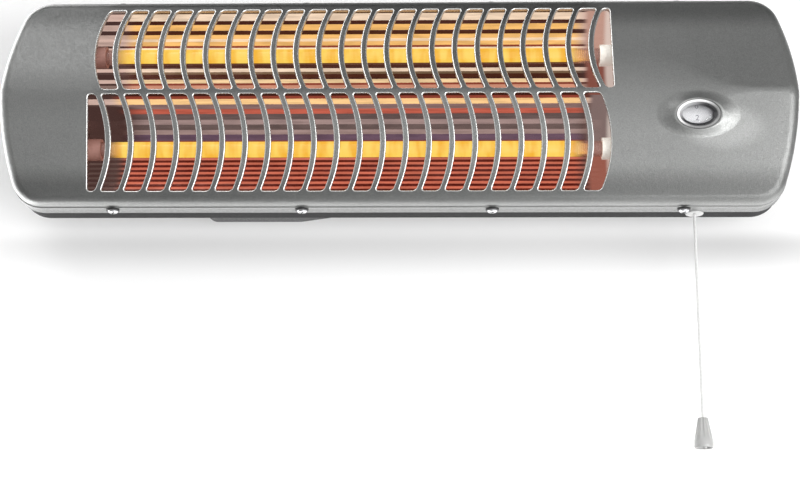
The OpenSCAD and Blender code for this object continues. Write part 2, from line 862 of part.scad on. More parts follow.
tube_seat = 10; // depth of a tube inside its cap
tube_end = cap_len - tube_seat;
module quartz_tube(z) {
  start = chamber_left + tube_end + cap_clear;
  length = 2 * (chamber_half - tube_end - cap_clear);
  color("#ffb347") difference() {
    rod_x(start, tube_y, z, tube_d / 2, length);
    rod_x(start - 1, tube_y, z, tube_d / 2 - tube_t, length + 2);
  }
}

module quartz_tube_upper() {
  quartz_tube(tube_z);
}

module quartz_tube_lower() {
  quartz_tube(-tube_z);
}

coil_length = 2 * (chamber_half - cap_len - cold_end / 2);
module heating_coil(z) {
  color("orangered")
    translate([grille_x - coil_length / 2, tube_y, z])
      coil(coil_curls, coil_r, coil_length, coil_wire);
}

module heating_coil_upper() {
  heating_coil(tube_z);
}

module heating_coil_lower() {
  heating_coil(-tube_z);
}

// A ceramic cap: a collar inside the chamber, a neck in the plate and a tail behind it
module ceramic_cap(left, z) {
  neck_r = cap_d / 2 - cap_step - cap_clear;
  color("#f2efe6")
    translate([left ? chamber_left : chamber_right, tube_y, z])
      mirror([left ? 1 : 0, 0, 0])
        difference() {
          union() {
            rod_x(-cap_len, 0, 0, cap_d / 2, cap_len);
            rod_x(-1, 0, 0, neck_r, sheet_t + 1 + cap_tail);
          }
          rod_x(-cap_len - 1, 0, 0, tube_d / 2 + cap_clear, cap_len - tube_end + 1);
          rod_x(-cap_len, 0, 0, pin_d / 2 + 0.1, cap_len + cap_tail + 4);
        }
}

module cap_upper_left() {
  ceramic_cap(true, tube_z);
}

module cap_upper_right() {
  ceramic_cap(false, tube_z);
}

module cap_lower_left() {
  ceramic_cap(true, -tube_z);
}

module cap_lower_right() {
  ceramic_cap(false, -tube_z);
}

module pin_places() {
  for (left = [0, 1], z = [-tube_z, tube_z])
    translate([left ? chamber_left : chamber_right, tube_y, z])
      mirror([left, 0, 0])
        children();
}

module terminal_pins() {
  color("silver") pin_places()
    rod_x(-1, 0, 0, pin_d / 2, sheet_t + cap_tail + pin_len + 1, 24);
}

module terminal_nuts() {
  color("#b08d3c") pin_places()
    difference() {
      rod_x(sheet_t + cap_tail, 0, 0, pin_d, 2.4, 6);
      rod_x(sheet_t + cap_tail - 1, 0, 0, pin_d / 2 + 0.05, 5, 24);
    }
}

// Insulated leads: each tube's right end to the switch, a link between the left ends,
// and the two conductors that come in from the terminal block
lead_r = 1.2;
lead_hole_y = inner_back_y - 4.2;
module lead(points) {
  swept(points, lead_r, 8);
}

module supply_leads() {
  beside_pin = tube_y + pin_d / 2 + lead_r + 0.1;
  right_x = chamber_right + sheet_t + cap_tail + 6;
  left_x = chamber_left - sheet_t - cap_tail - 6;
  back_y = inner_back_y - lead_r - 0.1;
  hole_x = box_left + box_w / 2;
  plug_x = frame_right + 12.5;
  plug_y = axle_y + switch_size[1] / 2 - 2.5;
  color("indianred") {
    lead([[right_x, beside_pin, tube_z], [right_x + 1, beside_pin + 6, tube_z - 3],
      [right_x + 4, beside_pin + 12, tube_z - 10], [right_x + 10, back_y - 4, 17],
      [right_x + 18, back_y, 20], [plug_x - 6, back_y, 20], [plug_x, back_y - 2, 14],
      [plug_x, back_y - 5, 4], [plug_x, plug_y + 5, axle_z + 8],
      [plug_x, plug_y, axle_z + 8]]);
    lead([[right_x, beside_pin, -tube_z], [right_x + 1, beside_pin + 6, 3 - tube_z],
      [right_x + 4, beside_pin + 12, 10 - tube_z], [right_x + 8, back_y - 3, -14],
      [right_x + 9, back_y, -4], [right_x + 9, back_y, 12], [right_x + 13, back_y, 23],
      [right_x + 21, back_y, 26], [plug_x + 2, back_y, 26], [plug_x + 8, back_y - 2, 18],
      [plug_x + 8, back_y - 3, 6], [plug_x + 4, plug_y + 9, axle_z + 5],
      [plug_x, plug_y + 5, axle_z], [plug_x, plug_y, axle_z]]);
    lead([[left_x, beside_pin, tube_z], [left_x, beside_pin + 7, tube_z - 4],
      [left_x, back_y - 5, tube_z - 12], [left_x, back_y, tube_z - 22], [left_x, back_y, 0],
      [left_x, back_y, 22 - tube_z], [left_x, back_y - 5, 12 - tube_z],
      [left_x, beside_pin + 7, 4 - tube_z], [left_x, beside_pin, -tube_z]]);
    lead([[hole_x + 3, tray_back_y + 3, box_z], [hole_x + 3, lead_hole_y, box_z + 4],
      [hole_x + 6, lead_hole_y, box_z + 20], [hole_x + 14, lead_hole_y, -8],
      [hole_x + 30, lead_hole_y, 0], [chamber_right, lead_hole_y, 0],
      [plug_x - 12, lead_hole_y, 0], [plug_x - 3, lead_hole_y - 1, -6],
      [plug_x, plug_y + 6, axle_z - 8], [plug_x, plug_y, axle_z - 8]]);
    lead([[hole_x - 3, tray_back_y + 3, box_z], [hole_x - 3, lead_hole_y, box_z + 4],
      [hole_x - 6, lead_hole_y, box_z + 20], [hole_x - 14, lead_hole_y, -8],
      [hole_x - 30, lead_hole_y, 0], [chamber_left, lead_hole_y, 0],
      [left_x + lead_r, lead_hole_y, 0]]);
  }
}

// ---------- window ----------

module window_bezel() {
  color("gainsboro") on_face(-1, window_x)
    translate([0, window_v, 0])
      skin([oval(dish_w / 2 + 1.5, dish_h / 2 + 1.5, -4),
        oval(dish_w / 2 + 1.5, dish_h / 2 + 1.5, swell - sheet_t - 0.1),
        oval(dish_w / 2 - 0.2, dish_h / 2 - 0.2, swell - sheet_t - 0.1),
        oval(dish_w / 2 - 0.2, dish_h / 2 - 0.2, swell - 0.3),
        oval(dish_w / 2 - 0.9, dish_h / 2 - 0.9, swell - 0.3),
        oval(lens_w / 2 + 0.1, lens_h / 2 + 0.1, -0.4),
        oval(lens_w / 2 + 0.1, lens_h / 2 + 0.1, -4)], looped = true);
}

module window_lens() {
  color("lightcyan") on_face(-1, window_x)
    translate([0, window_v, 0])
      skin([oval(lens_w / 2, lens_h / 2, -3.6), oval(lens_w / 2, lens_h / 2, -1.6),
        oval(lens_w / 2 - 0.8, lens_h / 2 - 0.8, -1)]);
}

// ---------- switch ----------

module switch_frame() {
  low = axle_z - frame_reach;
  front = axle_y - frame_ear_past;
  color("silver") difference() {
    union() {
      translate([frame_left, inner_back_y - frame_t, low])
        cube([frame_right - frame_left, frame_t, 2 * frame_reach]);
      for (x = [frame_left, frame_right - frame_t])
        translate([x, front, axle_z - frame_ear_h / 2])
          cube([frame_t, inner_back_y - front, frame_ear_h]);
    }
    rod_x(frame_left - 1, axle_y, axle_z, axle_d / 2 + run_gap, frame_right - frame_left + 2);
  }
}

switch_size = [25, 22, 28];
module switch_body() {
  size = switch_size;
  color("#e8e4d8") difference() {
    translate([frame_right, axle_y - size[1] / 2, axle_z - size[2] / 2])
      cube(size);
    rod_x(frame_right - 1, axle_y, axle_z, axle_d / 2 + run_gap, 8);
    for (z = [-8, 0, 8])
      translate([frame_right + size[0] / 2, axle_y + size[1] / 2 - 4, axle_z + z])
        rotate([-90, 0, 0])
          cylinder(r = 1.5, h = 6, $fn = 24);
  }
}

module switch_axle() {
  start = frame_left - 2;
  color("silver")
    rod_x(start, axle_y, axle_z, axle_d / 2, frame_right + 6 - start);
}

module number_drum() {
  rim = 2;
  color("white") difference() {
    rod_x(drum_left, axle_y, axle_z, drum_r, drum_w);
    difference() {
      rod_x(drum_left - 1, axle_y, axle_z, drum_r - rim, drum_w - 1);
      rod_x(drum_left - 2, axle_y, axle_z, axle_d / 2 + 2, drum_w + 2);
    }
    rod_x(drum_left - 1, axle_y, axle_z, axle_d / 2, drum_w + 2);
  }
}

wheel_r = 8;
wheel_teeth = 9;
module ratchet_wheel() {
  tooth = 1.6;
  color("#4a4f57") difference() {
    across_x(drum_left - wheel_w, wheel_w)
      translate([-axle_y, axle_z])
        polygon([for (k = [0 : wheel_teeth - 1], h = [0, 1])
          let (a = 360 * (k + h * 0.08) / wheel_teeth, r = h == 0 ? wheel_r : wheel_r + tooth)
          r * [cos(a), sin(a)]]);
    rod_x(drum_left - wheel_w - 1, axle_y, axle_z, axle_d / 2, wheel_w + 2);
  }
}

// The sector's groove still holds the cord when it has turned all the way
rim_top = sector_turn + 18;
rim_low = -12;
module pull_sector() {
  groove = cord_d / 2 + 0.3;
  rim_right = cord_x + 2.6;
  color("#5f6368") {
    difference() {
      translate([0, axle_y, axle_z])
        rotate([0, 90, 0])
          rotate([0, 0, 90])
            rotate([0, 0, rim_low])
              rotate_extrude(angle = rim_top - rim_low, $fn = 96)
                polygon([[4, web_left], [4, web_left + web_t],
                  [sector_r - 3.6, web_left + web_t], [sector_r - 3.6, rim_right],
                  [sector_r + 0.5, rim_right], [sector_r + 0.5, cord_x + 1.5],
                  [sector_r - groove, cord_x + 1.5], [sector_r - groove, cord_x - 1.5],
                  [sector_r + 0.5, cord_x - 1.5], [sector_r + 0.5, web_left]]);
      rod_x(web_left - 1, axle_y, axle_z, axle_d / 2 + 1, web_t + 2);
    }
    difference() {
      rod_x(web_left, axle_y, axle_z, axle_d / 2 + 2.5, web_t);
      rod_x(web_left - 1, axle_y, axle_z, axle_d / 2 + run_gap, web_t + 2);
    }
  }
}

module ratchet_pawl() {
  start = web_left + web_t;
  color("silver")
    translate([start, axle_y, axle_z])
      rotate([30, 0, 0])
        translate([0, wheel_r + 2.2, -4])
          cube([2, 2.4, 8]);
}

module cord_bush() {
  color("white") difference() {
    union() {
      translate([cord_x, cord_y, tray_floor_z - bush_flange_h])
        cylinder(r = bush_d / 2, h = bush_flange_h, $fn = 48);
      translate([cord_x, cord_y, tray_floor_z - 0.5])
        cylinder(r = bush_r, h = bush_top_z - tray_floor_z + 0.5, $fn = 48);
    }
    translate([cord_x, cord_y, tray_floor_z - bush_flange_h - 1])
      cylinder(r = cord_bore_r, h = bush_top_z - tray_floor_z + bush_flange_h + 2, $fn = 32);
  }
}

module return_spring() {
  color("silver")
    translate([cord_x, cord_y, bush_top_z + spring_wire / 2 + 0.05])
      rotate([0, -90, 0])
        coil(spring_curls, spring_r, spring_len - spring_wire - 0.1, spring_wire);
}

module cord_stop() {
  color("white") difference() {
    translate([cord_x, cord_y, stop_z])
      cylinder(r = spring_r + 1, h = 5, $fn = 48);
    translate([cord_x, cord_y, stop_z - 1])
      cylinder(r = cord_d / 2, h = 7, $fn = 32);
  }
}

knot_r = 2.2;
knot_z = 1.6;
knot_flat = 1.4;
// The cord hangs plumb from the sector through the bush to the knob
cord_levels = [0, 0.12, 0.24, 0.36, 0.48, 0.6, 0.72, 0.84, 1];
module pull_cord() {
  top = axle_z;
  bottom = knob_top_z - knob_h + knot_z + knot_flat;
  color("white")
    swept([for (t = cord_levels) [cord_x, cord_y, top + (bottom - top) * t]], cord_d / 2, 8);
}

// A bell with broad flutes down its cone, smooth round its foot and hollow below
module cord_knob() {
  flute_count = 12;
  flute_r = 0.9;
  foot_h = 6;
  top_r = 3.3;
  color("lightgray") difference() {
    translate([cord_x, cord_y, knob_top_z - knob_h])
      rotate_extrude($fn = 64)
        polygon([[cord_d / 2 + 0.1, 4.5], [knob_d / 2 - 2, 0], [knob_d / 2 - 0.4, 0],
          [knob_d / 2, 1.5], [knob_d / 2, 3], [knob_d / 2 - 0.3, foot_h],
          [top_r + 0.5, knob_h - 2.5], [top_r, knob_h - 0.6], [top_r - 0.4, knob_h],
          [cord_d / 2 + 0.1, knob_h]]);
    for (k = [0 : flute_count - 1])
      translate([cord_x, cord_y, knob_top_z - knob_h + foot_h])
        rotate([0, 0, 360 * k / flute_count])
          translate([knob_d / 2 + flute_r / 2, 0, 0])
            rotate([0, -atan((knob_d / 2 - 0.8 - top_r) / (knob_h - 2.5 - foot_h)), 0])
              cylinder(r = flute_r, h = knob_h, $fn = 16);
  }
}

module cord_knot() {
  color("white") translate([cord_x, cord_y, knob_top_z - knob_h + knot_z])
    difference() {
      sphere(r = knot_r, $fn = 32);
      translate([-knot_r, -knot_r, knot_flat])
        cube([2 * knot_r, 2 * knot_r, knot_r]);
    }
}

echo(str("least gap between curls: heating coil ",
  coil_least_gap(coil_curls, coil_r, coil_length, coil_wire), " mm, return spring ",
  coil_least_gap(spring_curls, spring_r, spring_len - spring_wire - 0.1, spring_wire), " mm"));

wall_bracket();
tilt_lugs();
lug_nuts();
clamp_knob_left();
clamp_knob_right();
back_tray();
front_cover();
cover_screws();
terminal_box();
box_screws();
terminal_block();
block_screws();
cable_gland();
gland_nut();
end_plate_left();
end_plate_right();
reflector_upper();
reflector_lower();
quartz_tube_upper();
quartz_tube_lower();
heating_coil_upper();
heating_coil_lower();
cap_upper_left();
cap_upper_right();
cap_lower_left();
cap_lower_right();
terminal_pins();
terminal_nuts();
supply_leads();
window_bezel();
window_lens();
switch_frame();
switch_body();
switch_axle();
number_drum();
ratchet_wheel();
pull_sector();
ratchet_pawl();
cord_bush();
return_spring();
cord_stop();
pull_cord();
cord_knob();
cord_knot();
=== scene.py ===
import math

import bmesh
import bpy
from mathutils import Matrix, Vector
from mathutils.geometry import delaunay_2d_cdt


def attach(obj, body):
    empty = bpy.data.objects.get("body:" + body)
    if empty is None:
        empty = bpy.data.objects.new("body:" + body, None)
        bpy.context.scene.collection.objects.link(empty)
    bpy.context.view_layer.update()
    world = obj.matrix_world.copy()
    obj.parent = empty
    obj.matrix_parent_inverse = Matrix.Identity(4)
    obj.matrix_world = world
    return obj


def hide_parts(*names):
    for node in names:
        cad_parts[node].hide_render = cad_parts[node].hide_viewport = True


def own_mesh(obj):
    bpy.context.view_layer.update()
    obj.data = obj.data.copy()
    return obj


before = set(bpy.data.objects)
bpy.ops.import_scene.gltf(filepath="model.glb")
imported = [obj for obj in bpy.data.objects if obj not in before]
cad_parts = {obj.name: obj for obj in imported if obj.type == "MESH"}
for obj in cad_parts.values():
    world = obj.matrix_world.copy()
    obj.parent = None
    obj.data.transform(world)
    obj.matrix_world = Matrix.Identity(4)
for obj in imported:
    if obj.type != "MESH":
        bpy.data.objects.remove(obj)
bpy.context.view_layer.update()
mm = 0.001

# ---------- the picture's camera ----------
# It stands low, a little right of the middle, about 1.1 m in front of the wall, and looks
# up at the heater by 15.7 degrees and slightly to the left through a 75 mm lens.


def in_scene(name, data):
    """An object of the scene for a mesh, a curve, a lens or a lamp."""
    made = bpy.data.objects.new(name, data)
    bpy.context.collection.objects.link(made)
    return made


lens = bpy.data.cameras.new("picture_camera")
lens.sensor_width = 36
lens.lens = 74.9
camera = in_scene("picture_camera", lens)
camera.matrix_world = (Matrix.Translation((0.036, -1.106, -0.396))
                       @ Matrix.Rotation(math.radians(1.84), 4, "Z")
                       @ Matrix.Rotation(math.radians(105.65), 4, "X")
                       @ Matrix.Rotation(math.radians(0.45), 4, "Z"))
bpy.context.scene.camera = camera

# ---------- pull cord ----------
# A thin white braided cord hangs plumb from the switch through its bush. It ends in a
# knot inside a fluted bell of pale grey plastic, which is what a hand pulls.


class Wire:
    """A socket in a material's node tree, which takes part in sums."""

    def __init__(self, socket):
        self.socket = socket

    def node(self, kind, settings, sockets, outlet=0):
        made = self.socket.id_data.nodes.new("ShaderNode" + kind)
        for name, value in settings.items():
            if name == "stops":
                made.color_ramp.interpolation = "CONSTANT"
                marks = made.color_ramp.elements
                marks[0].position, marks[1].position = value[0][0], value[-1][0]
                for position, _ in value[1:-1]:
                    marks.new(position)
                for mark, (_, colour) in zip(marks, value):
                    mark.color = (*colour, 1)
            else:
                setattr(made, name, value)
        feed(made, sockets)
        return Wire(made.outputs[outlet])

    def sum(self, operation, first, second=0.0):
        return self.node("Math", {"operation": operation}, {0: first, 1: second})

    def __add__(self, other):
        return self.sum("ADD", self, other)

    def __sub__(self, other):
        return self.sum("SUBTRACT", self, other)

    def __mul__(self, other):
        return self.sum("MULTIPLY", self, other)

    def __truediv__(self, other):
        return self.sum("DIVIDE", self, other)

    def __rsub__(self, other):
        return self.sum("SUBTRACT", other, self)

    def size(self):
        return self.sum("ABSOLUTE", self)

    def dimmed(self, share):
        return self.node("VectorMath", {"operation": "SCALE"}, {0: self, "Scale": share})

    def split(self):
        parts = self.node("SeparateXYZ", {}, {0: self}).socket.node
        return [Wire(out) for out in parts.outputs]

    def grain(self, scale, detail=2.0):
        return self.node("TexNoise", {}, {"Vector": self, "Scale": scale, "Detail": detail})

    def within(self, low, high, start=0.0, end=1.0):
        return self.node("MapRange", {"interpolation_type": "SMOOTHSTEP"},
                         {0: self, 1: low, 2: high, 3: start, 4: end})

    def colours(self, low, high):
        return self.node("Mix", {"data_type": "RGBA"}, {0: self, 6: low, 7: high}, 2)

    def relief(self, depth):
        return self.node("Bump", {}, {"Height": self, "Distance": depth})


def feed(made, sockets):
    for name, value in sockets.items():
        socket = made.inputs[name]
        if isinstance(value, Wire):
            socket.id_data.links.new(value.socket, socket)
        else:
            colour = socket.type == "RGBA" and len(value) == 3
            socket.default_value = (*value, 1) if colour else value


def finish_called(name, fixed):
    """A new material, its shader with the fixed values set, and the place on the object."""
    material = bpy.data.materials.new(name)
    material.use_nodes = True
    tree = material.node_tree
    shader = tree.nodes["Principled BSDF"]
    feed(shader, fixed)
    return material, shader, Wire(tree.nodes.new("ShaderNodeTexCoord").outputs["Object"])


def meshed(name, form, *materials):
    """A piece with the form's mesh, after which the form is used up."""
    mesh = bpy.data.meshes.new(name)
    form.to_mesh(mesh)
    form.free()
    for material in materials:
        mesh.materials.append(material)
    return in_scene(name, mesh)


def solid_from(name, points, faces, material, body, crisp=None):
    """A mesh piece in the part's own frame, which rides on a body. Its faces point outwards,
    and edges that turn by more than crisp degrees stay sharp."""
    mesh = bpy.data.meshes.new(name)
    mesh.from_pydata([tuple(p) for p in points], [], faces)
    mesh.validate()
    form = bmesh.new()
    form.from_mesh(mesh)
    bpy.data.meshes.remove(mesh)
    bmesh.ops.recalc_face_normals(form, faces=form.faces)
    piece = meshed(name, form, material)
    piece.data.shade_smooth()
    if crisp:
        piece.data.set_sharp_from_angle(angle=math.radians(crisp))
    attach(piece, body)
    return piece


def ring_faces(rings, n, closed=False, capped=True):
    """Quads between rings of n points each, and a face over each open end."""
    faces = [[r * n + i, r * n + (i + 1) % n,
              (r + 1) % rings * n + (i + 1) % n, (r + 1) % rings * n + i]
             for r in range(rings if closed else rings - 1) for i in range(n)]
    if capped and not closed:
        faces += [list(range(n))[::-1], [(rings - 1) * n + i for i in range(n)]]
    return faces


def turned(name, profile, place, sides, material, body, flute=None):
    """A turned piece: its profile of (radius, height) runs round a plumb line at place."""
    points = []
    for radius, height in profile:
        for k in range(sides):
            a = 2 * math.pi * k / sides
            r = radius if flute is None else radius - flute(height, a)
            points.append((place[0] + r * math.cos(a), place[1] + r * math.sin(a),
                           place[2] + height))
    return solid_from(name, points, ring_faces(len(profile), sides), material, body)


cord_x, cord_y, cord_d, cord_drop = 197 * mm, -44.5 * mm, 1.7 * mm, 138 * mm
sector_z, tray_floor, bush_flange, knob_h = -15.33 * mm, -71.4 * mm, 1.8 * mm, 19.5 * mm
cord_exit = tray_floor - bush_flange
knob_low = tray_floor - cord_drop - knob_h
cord_end = knob_low + 3 * mm

white_cord, shader, place = finish_called("white_cord", {"Sheen Weight": 0.25})
x, y, z = place.split()
turn = place.sum("ARCTAN2", y - cord_y, x - cord_x)
braid = 3600
strand = place.sum("SINE", turn * 2 + z * braid) * place.sum("SINE", turn * 2 - z * braid)
strand = strand.within(-1.0, 1.0)
feed(shader, {"Base Color": strand.colours((0.5, 0.5, 0.5), (0.8, 0.8, 0.79)),
              "Roughness": place.grain(900).within(0.3, 0.7, 0.75, 0.95),
              "Normal": strand.relief(0.00012)})


def cord_along(name, points, radius, roundness):
    """Cord laid along points, which the pull carries."""
    line = bpy.data.curves.new(name, "CURVE")
    line.dimensions, line.use_fill_caps = "3D", True
    line.bevel_depth, line.bevel_resolution = radius, roundness
    spline = line.splines.new("POLY")
    spline.points.add(len(points) - 1)
    for spot, point in zip(spline.points, points):
        spot.co = (*point, 1)
    line.materials.append(white_cord)
    piece = in_scene(name, line)
    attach(piece, "pull")
    return piece


def plumb(top, bottom):
    return [(cord_x, cord_y, top + (bottom - top) * k / 19) for k in range(20)]


hanging_cord = cord_along("hanging_cord", plumb(cord_exit, cord_end), cord_d / 2, 5)
cord_along("inner_cord", plumb(sector_z, cord_exit), cord_d / 2, 5)
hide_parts("pull_cord")

knob_plastic, shader, place = finish_called("knob_plastic", {"Coat Roughness": 0.2})
speck = place.grain(1500, 3)
feed(shader, {"Base Color": place.grain(120).colours((0.34, 0.34, 0.335), (0.42, 0.42, 0.415)),
              "Roughness": speck.within(0.35, 0.65, 0.32, 0.48), "Coat Weight": 0.15,
              "Normal": speck.relief(0.00002)})


def knob_flute(height, angle):
    """Twelve broad flutes, which run out above the bell's round foot."""
    flutes, flute_d, foot_h, run_out = 12, 0.5 * mm, 5.5 * mm, 2 * mm
    share = min(1, max(0, (height - foot_h) / run_out))
    return flute_d * share * (0.5 - 0.5 * math.cos(flutes * angle)) ** 0.6


bell = [(1.05, 6.0), (3.6, 5.2), (5.0, 2.0), (5.35, 0.25), (5.6, 0.0), (5.95, 0.1), (6.15, 0.5),
        (6.28, 1.4), (6.3, 2.6), (6.22, 4.0), (6.05, 5.2), (5.85, 6.2), (5.6, 7.4), (5.2, 9.4),
        (4.75, 11.6), (4.35, 13.6), (3.95, 15.6), (3.6, 17.4), (3.4, 18.6), (3.25, 19.2),
        (3.0, 19.5), (1.05, 19.5)]
cord_bell = turned("cord_bell", [(r * mm, h * mm) for r, h in bell], (cord_x, cord_y, knob_low),
                   144, knob_plastic, "pull", knob_flute)
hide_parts("cord_knob")

# The knot is two fat turns of the cord with a short cut end that peeks out below.
knot_r, knot_cord_r, knot_points = 1.25 * mm, 0.8 * mm, []
for k in range(73):
    a = 4 * math.pi * k / 72
    knot_points.append(Vector((knot_r * math.cos(a), knot_r * math.sin(a) * 0.8,
                               (1.1 - 1.5 * k / 72 + 0.35 * math.sin(1.5 * a)) * mm)))
knot_points += [Vector((1.2, -0.3, -0.9)) * mm, Vector((1.0, -0.7, -1.4)) * mm,
                Vector((0.7, -1.0, -2.0)) * mm]
knot_z = knob_low + 1.9 * mm
cord_tie = cord_along("cord_tie", [(cord_x + at.x, cord_y + at.y, knot_z + at.z)
                                   for at in knot_points], knot_cord_r, 4)
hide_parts("cord_knot")

# ---------- cord bush and cord stop ----------
# The cord runs through a white moulded bush that clips into the tray's floor. Its round
# flange shows below the housing and just covers a notch in the cover's rear edge.


def speckled_finish(name, fixed, clouds, low, high, gloss, bumps=None, detail=2.0):
    """A finish with faint clouds of tone, and fine specks in its gloss and its relief."""
    material, shader, place = finish_called(name, fixed)
    specks, shiny, dull = gloss
    feed(shader, {"Base Color": place.grain(clouds).colours(low, high),
                  "Roughness": place.grain(specks, detail).within(0.3, 0.7, shiny, dull)})
    if bumps:
        feed(shader, {"Normal": place.grain(bumps[0], detail).relief(bumps[1])})
    return material


bush_plastic = speckled_finish(
    "bush_plastic", {"Coat Roughness": 0.15, "Coat Weight": 0.3}, 200, (0.5, 0.5, 0.495),
    (0.58, 0.58, 0.575), (700, 0.3, 0.42), (1200, 0.00001))
bush = [(1.25, -1.7), (1.5, -1.8), (5.4, -1.8), (5.8, -1.62), (6.0, -1.2), (6.0, -0.3), (5.8, 0.0),
        (4.0, 0.0), (4.0, 2.3), (3.7, 2.6), (1.25, 2.6)]
cord_guide = turned("cord_guide", [(r * mm, h * mm) for r, h in bush],
                    (cord_x, cord_y, tray_floor), 96, bush_plastic, "heater")
edge = cord_guide.modifiers.new("edge", "BEVEL")
edge.width, edge.segments, edge.limit_method = 0.12 * mm, 2, "ANGLE"
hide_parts("cord_bush")


def give_finish(material, *names):
    for name in names:
        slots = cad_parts[name].data.materials
        slots.clear()
        slots.append(material)


give_finish(bush_plastic, "cord_stop")

# ---------- wall bracket, lugs and clamp screws ----------
# A bent steel strip is screwed to the wall through two slots. The heater hangs between its
# ears on two lugs and is clamped at its tilt by a black star grip on each side.

bracket_coat = speckled_finish(
    "bracket_coat", {}, 60, (0.03, 0.03, 0.032), (0.045, 0.045, 0.048),
    (1600, 0.42, 0.6), (1600, 0.00005), 3)
give_finish(bracket_coat, "wall_bracket", "tilt_lugs")

zinc, shader, place = finish_called("zinc_plate", {"Metallic": 1.0})
flakes = place.node("TexVoronoi", {}, {"Vector": place, "Scale": 420.0}).grain(3)
feed(shader, {"Base Color": flakes.colours((0.55, 0.56, 0.57), (0.72, 0.72, 0.73)),
              "Roughness": place.grain(300).within(0.3, 0.7, 0.22, 0.4),
              "Normal": place.grain(2400).relief(0.00001)})
give_finish(zinc, "lug_nuts")

grip_plastic = speckled_finish(
    "grip_plastic", {}, 90, (0.012, 0.012, 0.013), (0.022, 0.022, 0.023),
    (1900, 0.38, 0.56), (1900, 0.00003), 4)
give_finish(grip_plastic, "clamp_knob_left", "clamp_knob_right")

# ---------- back tray ----------
# A pressed steel pan in dark satin paint closes the housing from behind. Its walls slide
# into the cover and show as a dark band below and behind it.

body_w, body_h, end_r, corner_r = 528 * mm, 145 * mm, 194 * mm, 21 * mm
sheet_t, sheet_gap, tray_edge_r = 0.8 * mm, 0.3 * mm, 3 * mm
corner_z = body_h / 2 - corner_r
arc_x = body_w / 2 - end_r
corner_x = arc_x + math.sqrt((end_r - corner_r) ** 2 - corner_z ** 2)
arc_half = math.atan2(corner_z, corner_x - arc_x)

# The right end's outline from the bottom up and the top edge, each point given as
# (middle x, middle z, radius, angle)
corner_steps, arc_steps, edge_steps, quarter = 14, 28, 20, math.pi / 2
outline = [(corner_x, -corner_z, corner_r, -quarter + (quarter - arc_half) * k / corner_steps)
           for k in range(corner_steps)]
outline += [(arc_x, 0, end_r, arc_half * k / arc_steps) for k in range(-arc_steps, arc_steps + 1)]
outline += [(corner_x, corner_z, corner_r, arc_half + (quarter - arc_half) * k / corner_steps)
            for k in range(1, corner_steps + 1)]
outline += [(corner_x * (1 - k / edge_steps), corner_z, corner_r, quarter)
            for k in range(1, 2 * edge_steps)]


def loop(point_at):
    """All round the outline: the right end and top edge, then the same turned half round."""
    half = [point_at(*place) for place in outline]
    return [Vector(p) for p in half] + [Vector((-p[0], p[1], -p[2])) for p in half]


def wall_loop(inset, depth):
    return loop(lambda x, z, r, a: (x + (r - inset) * math.cos(a), depth,
                                    z + (r - inset) * math.sin(a)))


def rolled_loop(share, inset, radius, apex, roof, roof_r):
    """A line on the rolled edge, from the side wall at share 0 to the face at share 1."""
    def point_at(x, z, r, a):
        cx, cz = x + (r - inset) * math.cos(a), z + (r - inset) * math.sin(a)
        if roof == 0:
            depth, tilt = apex + radius, 0.0
        elif abs(cz) < (roof_r - radius) * math.sin(roof):
            depth = apex + roof_r / math.cos(roof) - math.sqrt((roof_r - radius) ** 2 - cz * cz)
            tilt = math.asin(cz / (roof_r - radius))
        else:
            depth = apex + abs(cz) * math.tan(roof) + radius / math.cos(roof)
            tilt = math.copysign(roof, cz)
        wall = Vector((math.cos(a), 0, math.sin(a)))
        face = Vector((0, -math.cos(tilt), math.sin(tilt)))
        toward = wall.slerp(face, share) if wall.angle(face) > 1e-4 else wall
        return Vector((cx, depth, cz)) + radius * toward
    return loop(point_at)


def smooth_sheet(piece, thickness):
    """Gives a pressed sheet its thickness, inwards, and keeps its flats flat to the eye."""
    piece.data.set_sharp_from_angle(angle=math.radians(50))
    sheet = piece.modifiers.new("sheet", "SOLIDIFY")
    sheet.thickness, sheet.offset = thickness, -1
    flats = piece.modifiers.new("flats", "WEIGHTED_NORMAL")
    flats.keep_sharp = True


tray_paint = speckled_finish(
    "tray_paint", {"Specular IOR Level": 0.03}, 25, (0.03, 0.03, 0.031),
    (0.04, 0.04, 0.041), (900, 0.5, 0.6), (900, 0.00002), 3)
tray_inset, tray_back, tray_front = sheet_t + sheet_gap, -30 * mm, -58 * mm
rings = [[Vector((p.x, -p.y, p.z)) for p in
          rolled_loop(k / 6, tray_inset + tray_edge_r, tray_edge_r, -tray_back, 0, 0)]
         for k in range(6, -1, -1)]
rings.append(wall_loop(tray_inset, tray_front))
n = len(rings[0])
faces = ring_faces(len(rings), n, capped=False) + [list(range(n))]
steel_tray = solid_from("steel_tray", sum(rings, []), faces, tray_paint, "heater")
smooth_sheet(steel_tray, sheet_t)
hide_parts("back_tray")

# ---------- terminal box ----------
# The mains cable's terminals sit in a black moulded box behind the tray, which peeks out
# below it. The cable comes in through a gland on the box's top.

box_plastic = speckled_finish(
    "box_plastic", {}, 50, (0.012, 0.012, 0.013), (0.02, 0.02, 0.021),
    (1300, 0.4, 0.62), (1300, 0.00006), 4)
give_finish(box_plastic, "terminal_box", "cable_gland", "gland_nut")
give_finish(zinc, "box_screws")

block_plastic = speckled_finish(
    "block_plastic", {}, 140, (0.66, 0.6, 0.46), (0.74, 0.69, 0.55),
    (900, 0.4, 0.55), (900, 0.00002))
give_finish(block_plastic, "terminal_block", "switch_body")

brass = speckled_finish(
    "brass", {"Metallic": 1.0}, 260, (0.58, 0.38, 0.13), (0.7, 0.49, 0.2),
    (800, 0.2, 0.36), (1500, 0.00001))
give_finish(brass, "block_screws", "terminal_nuts")
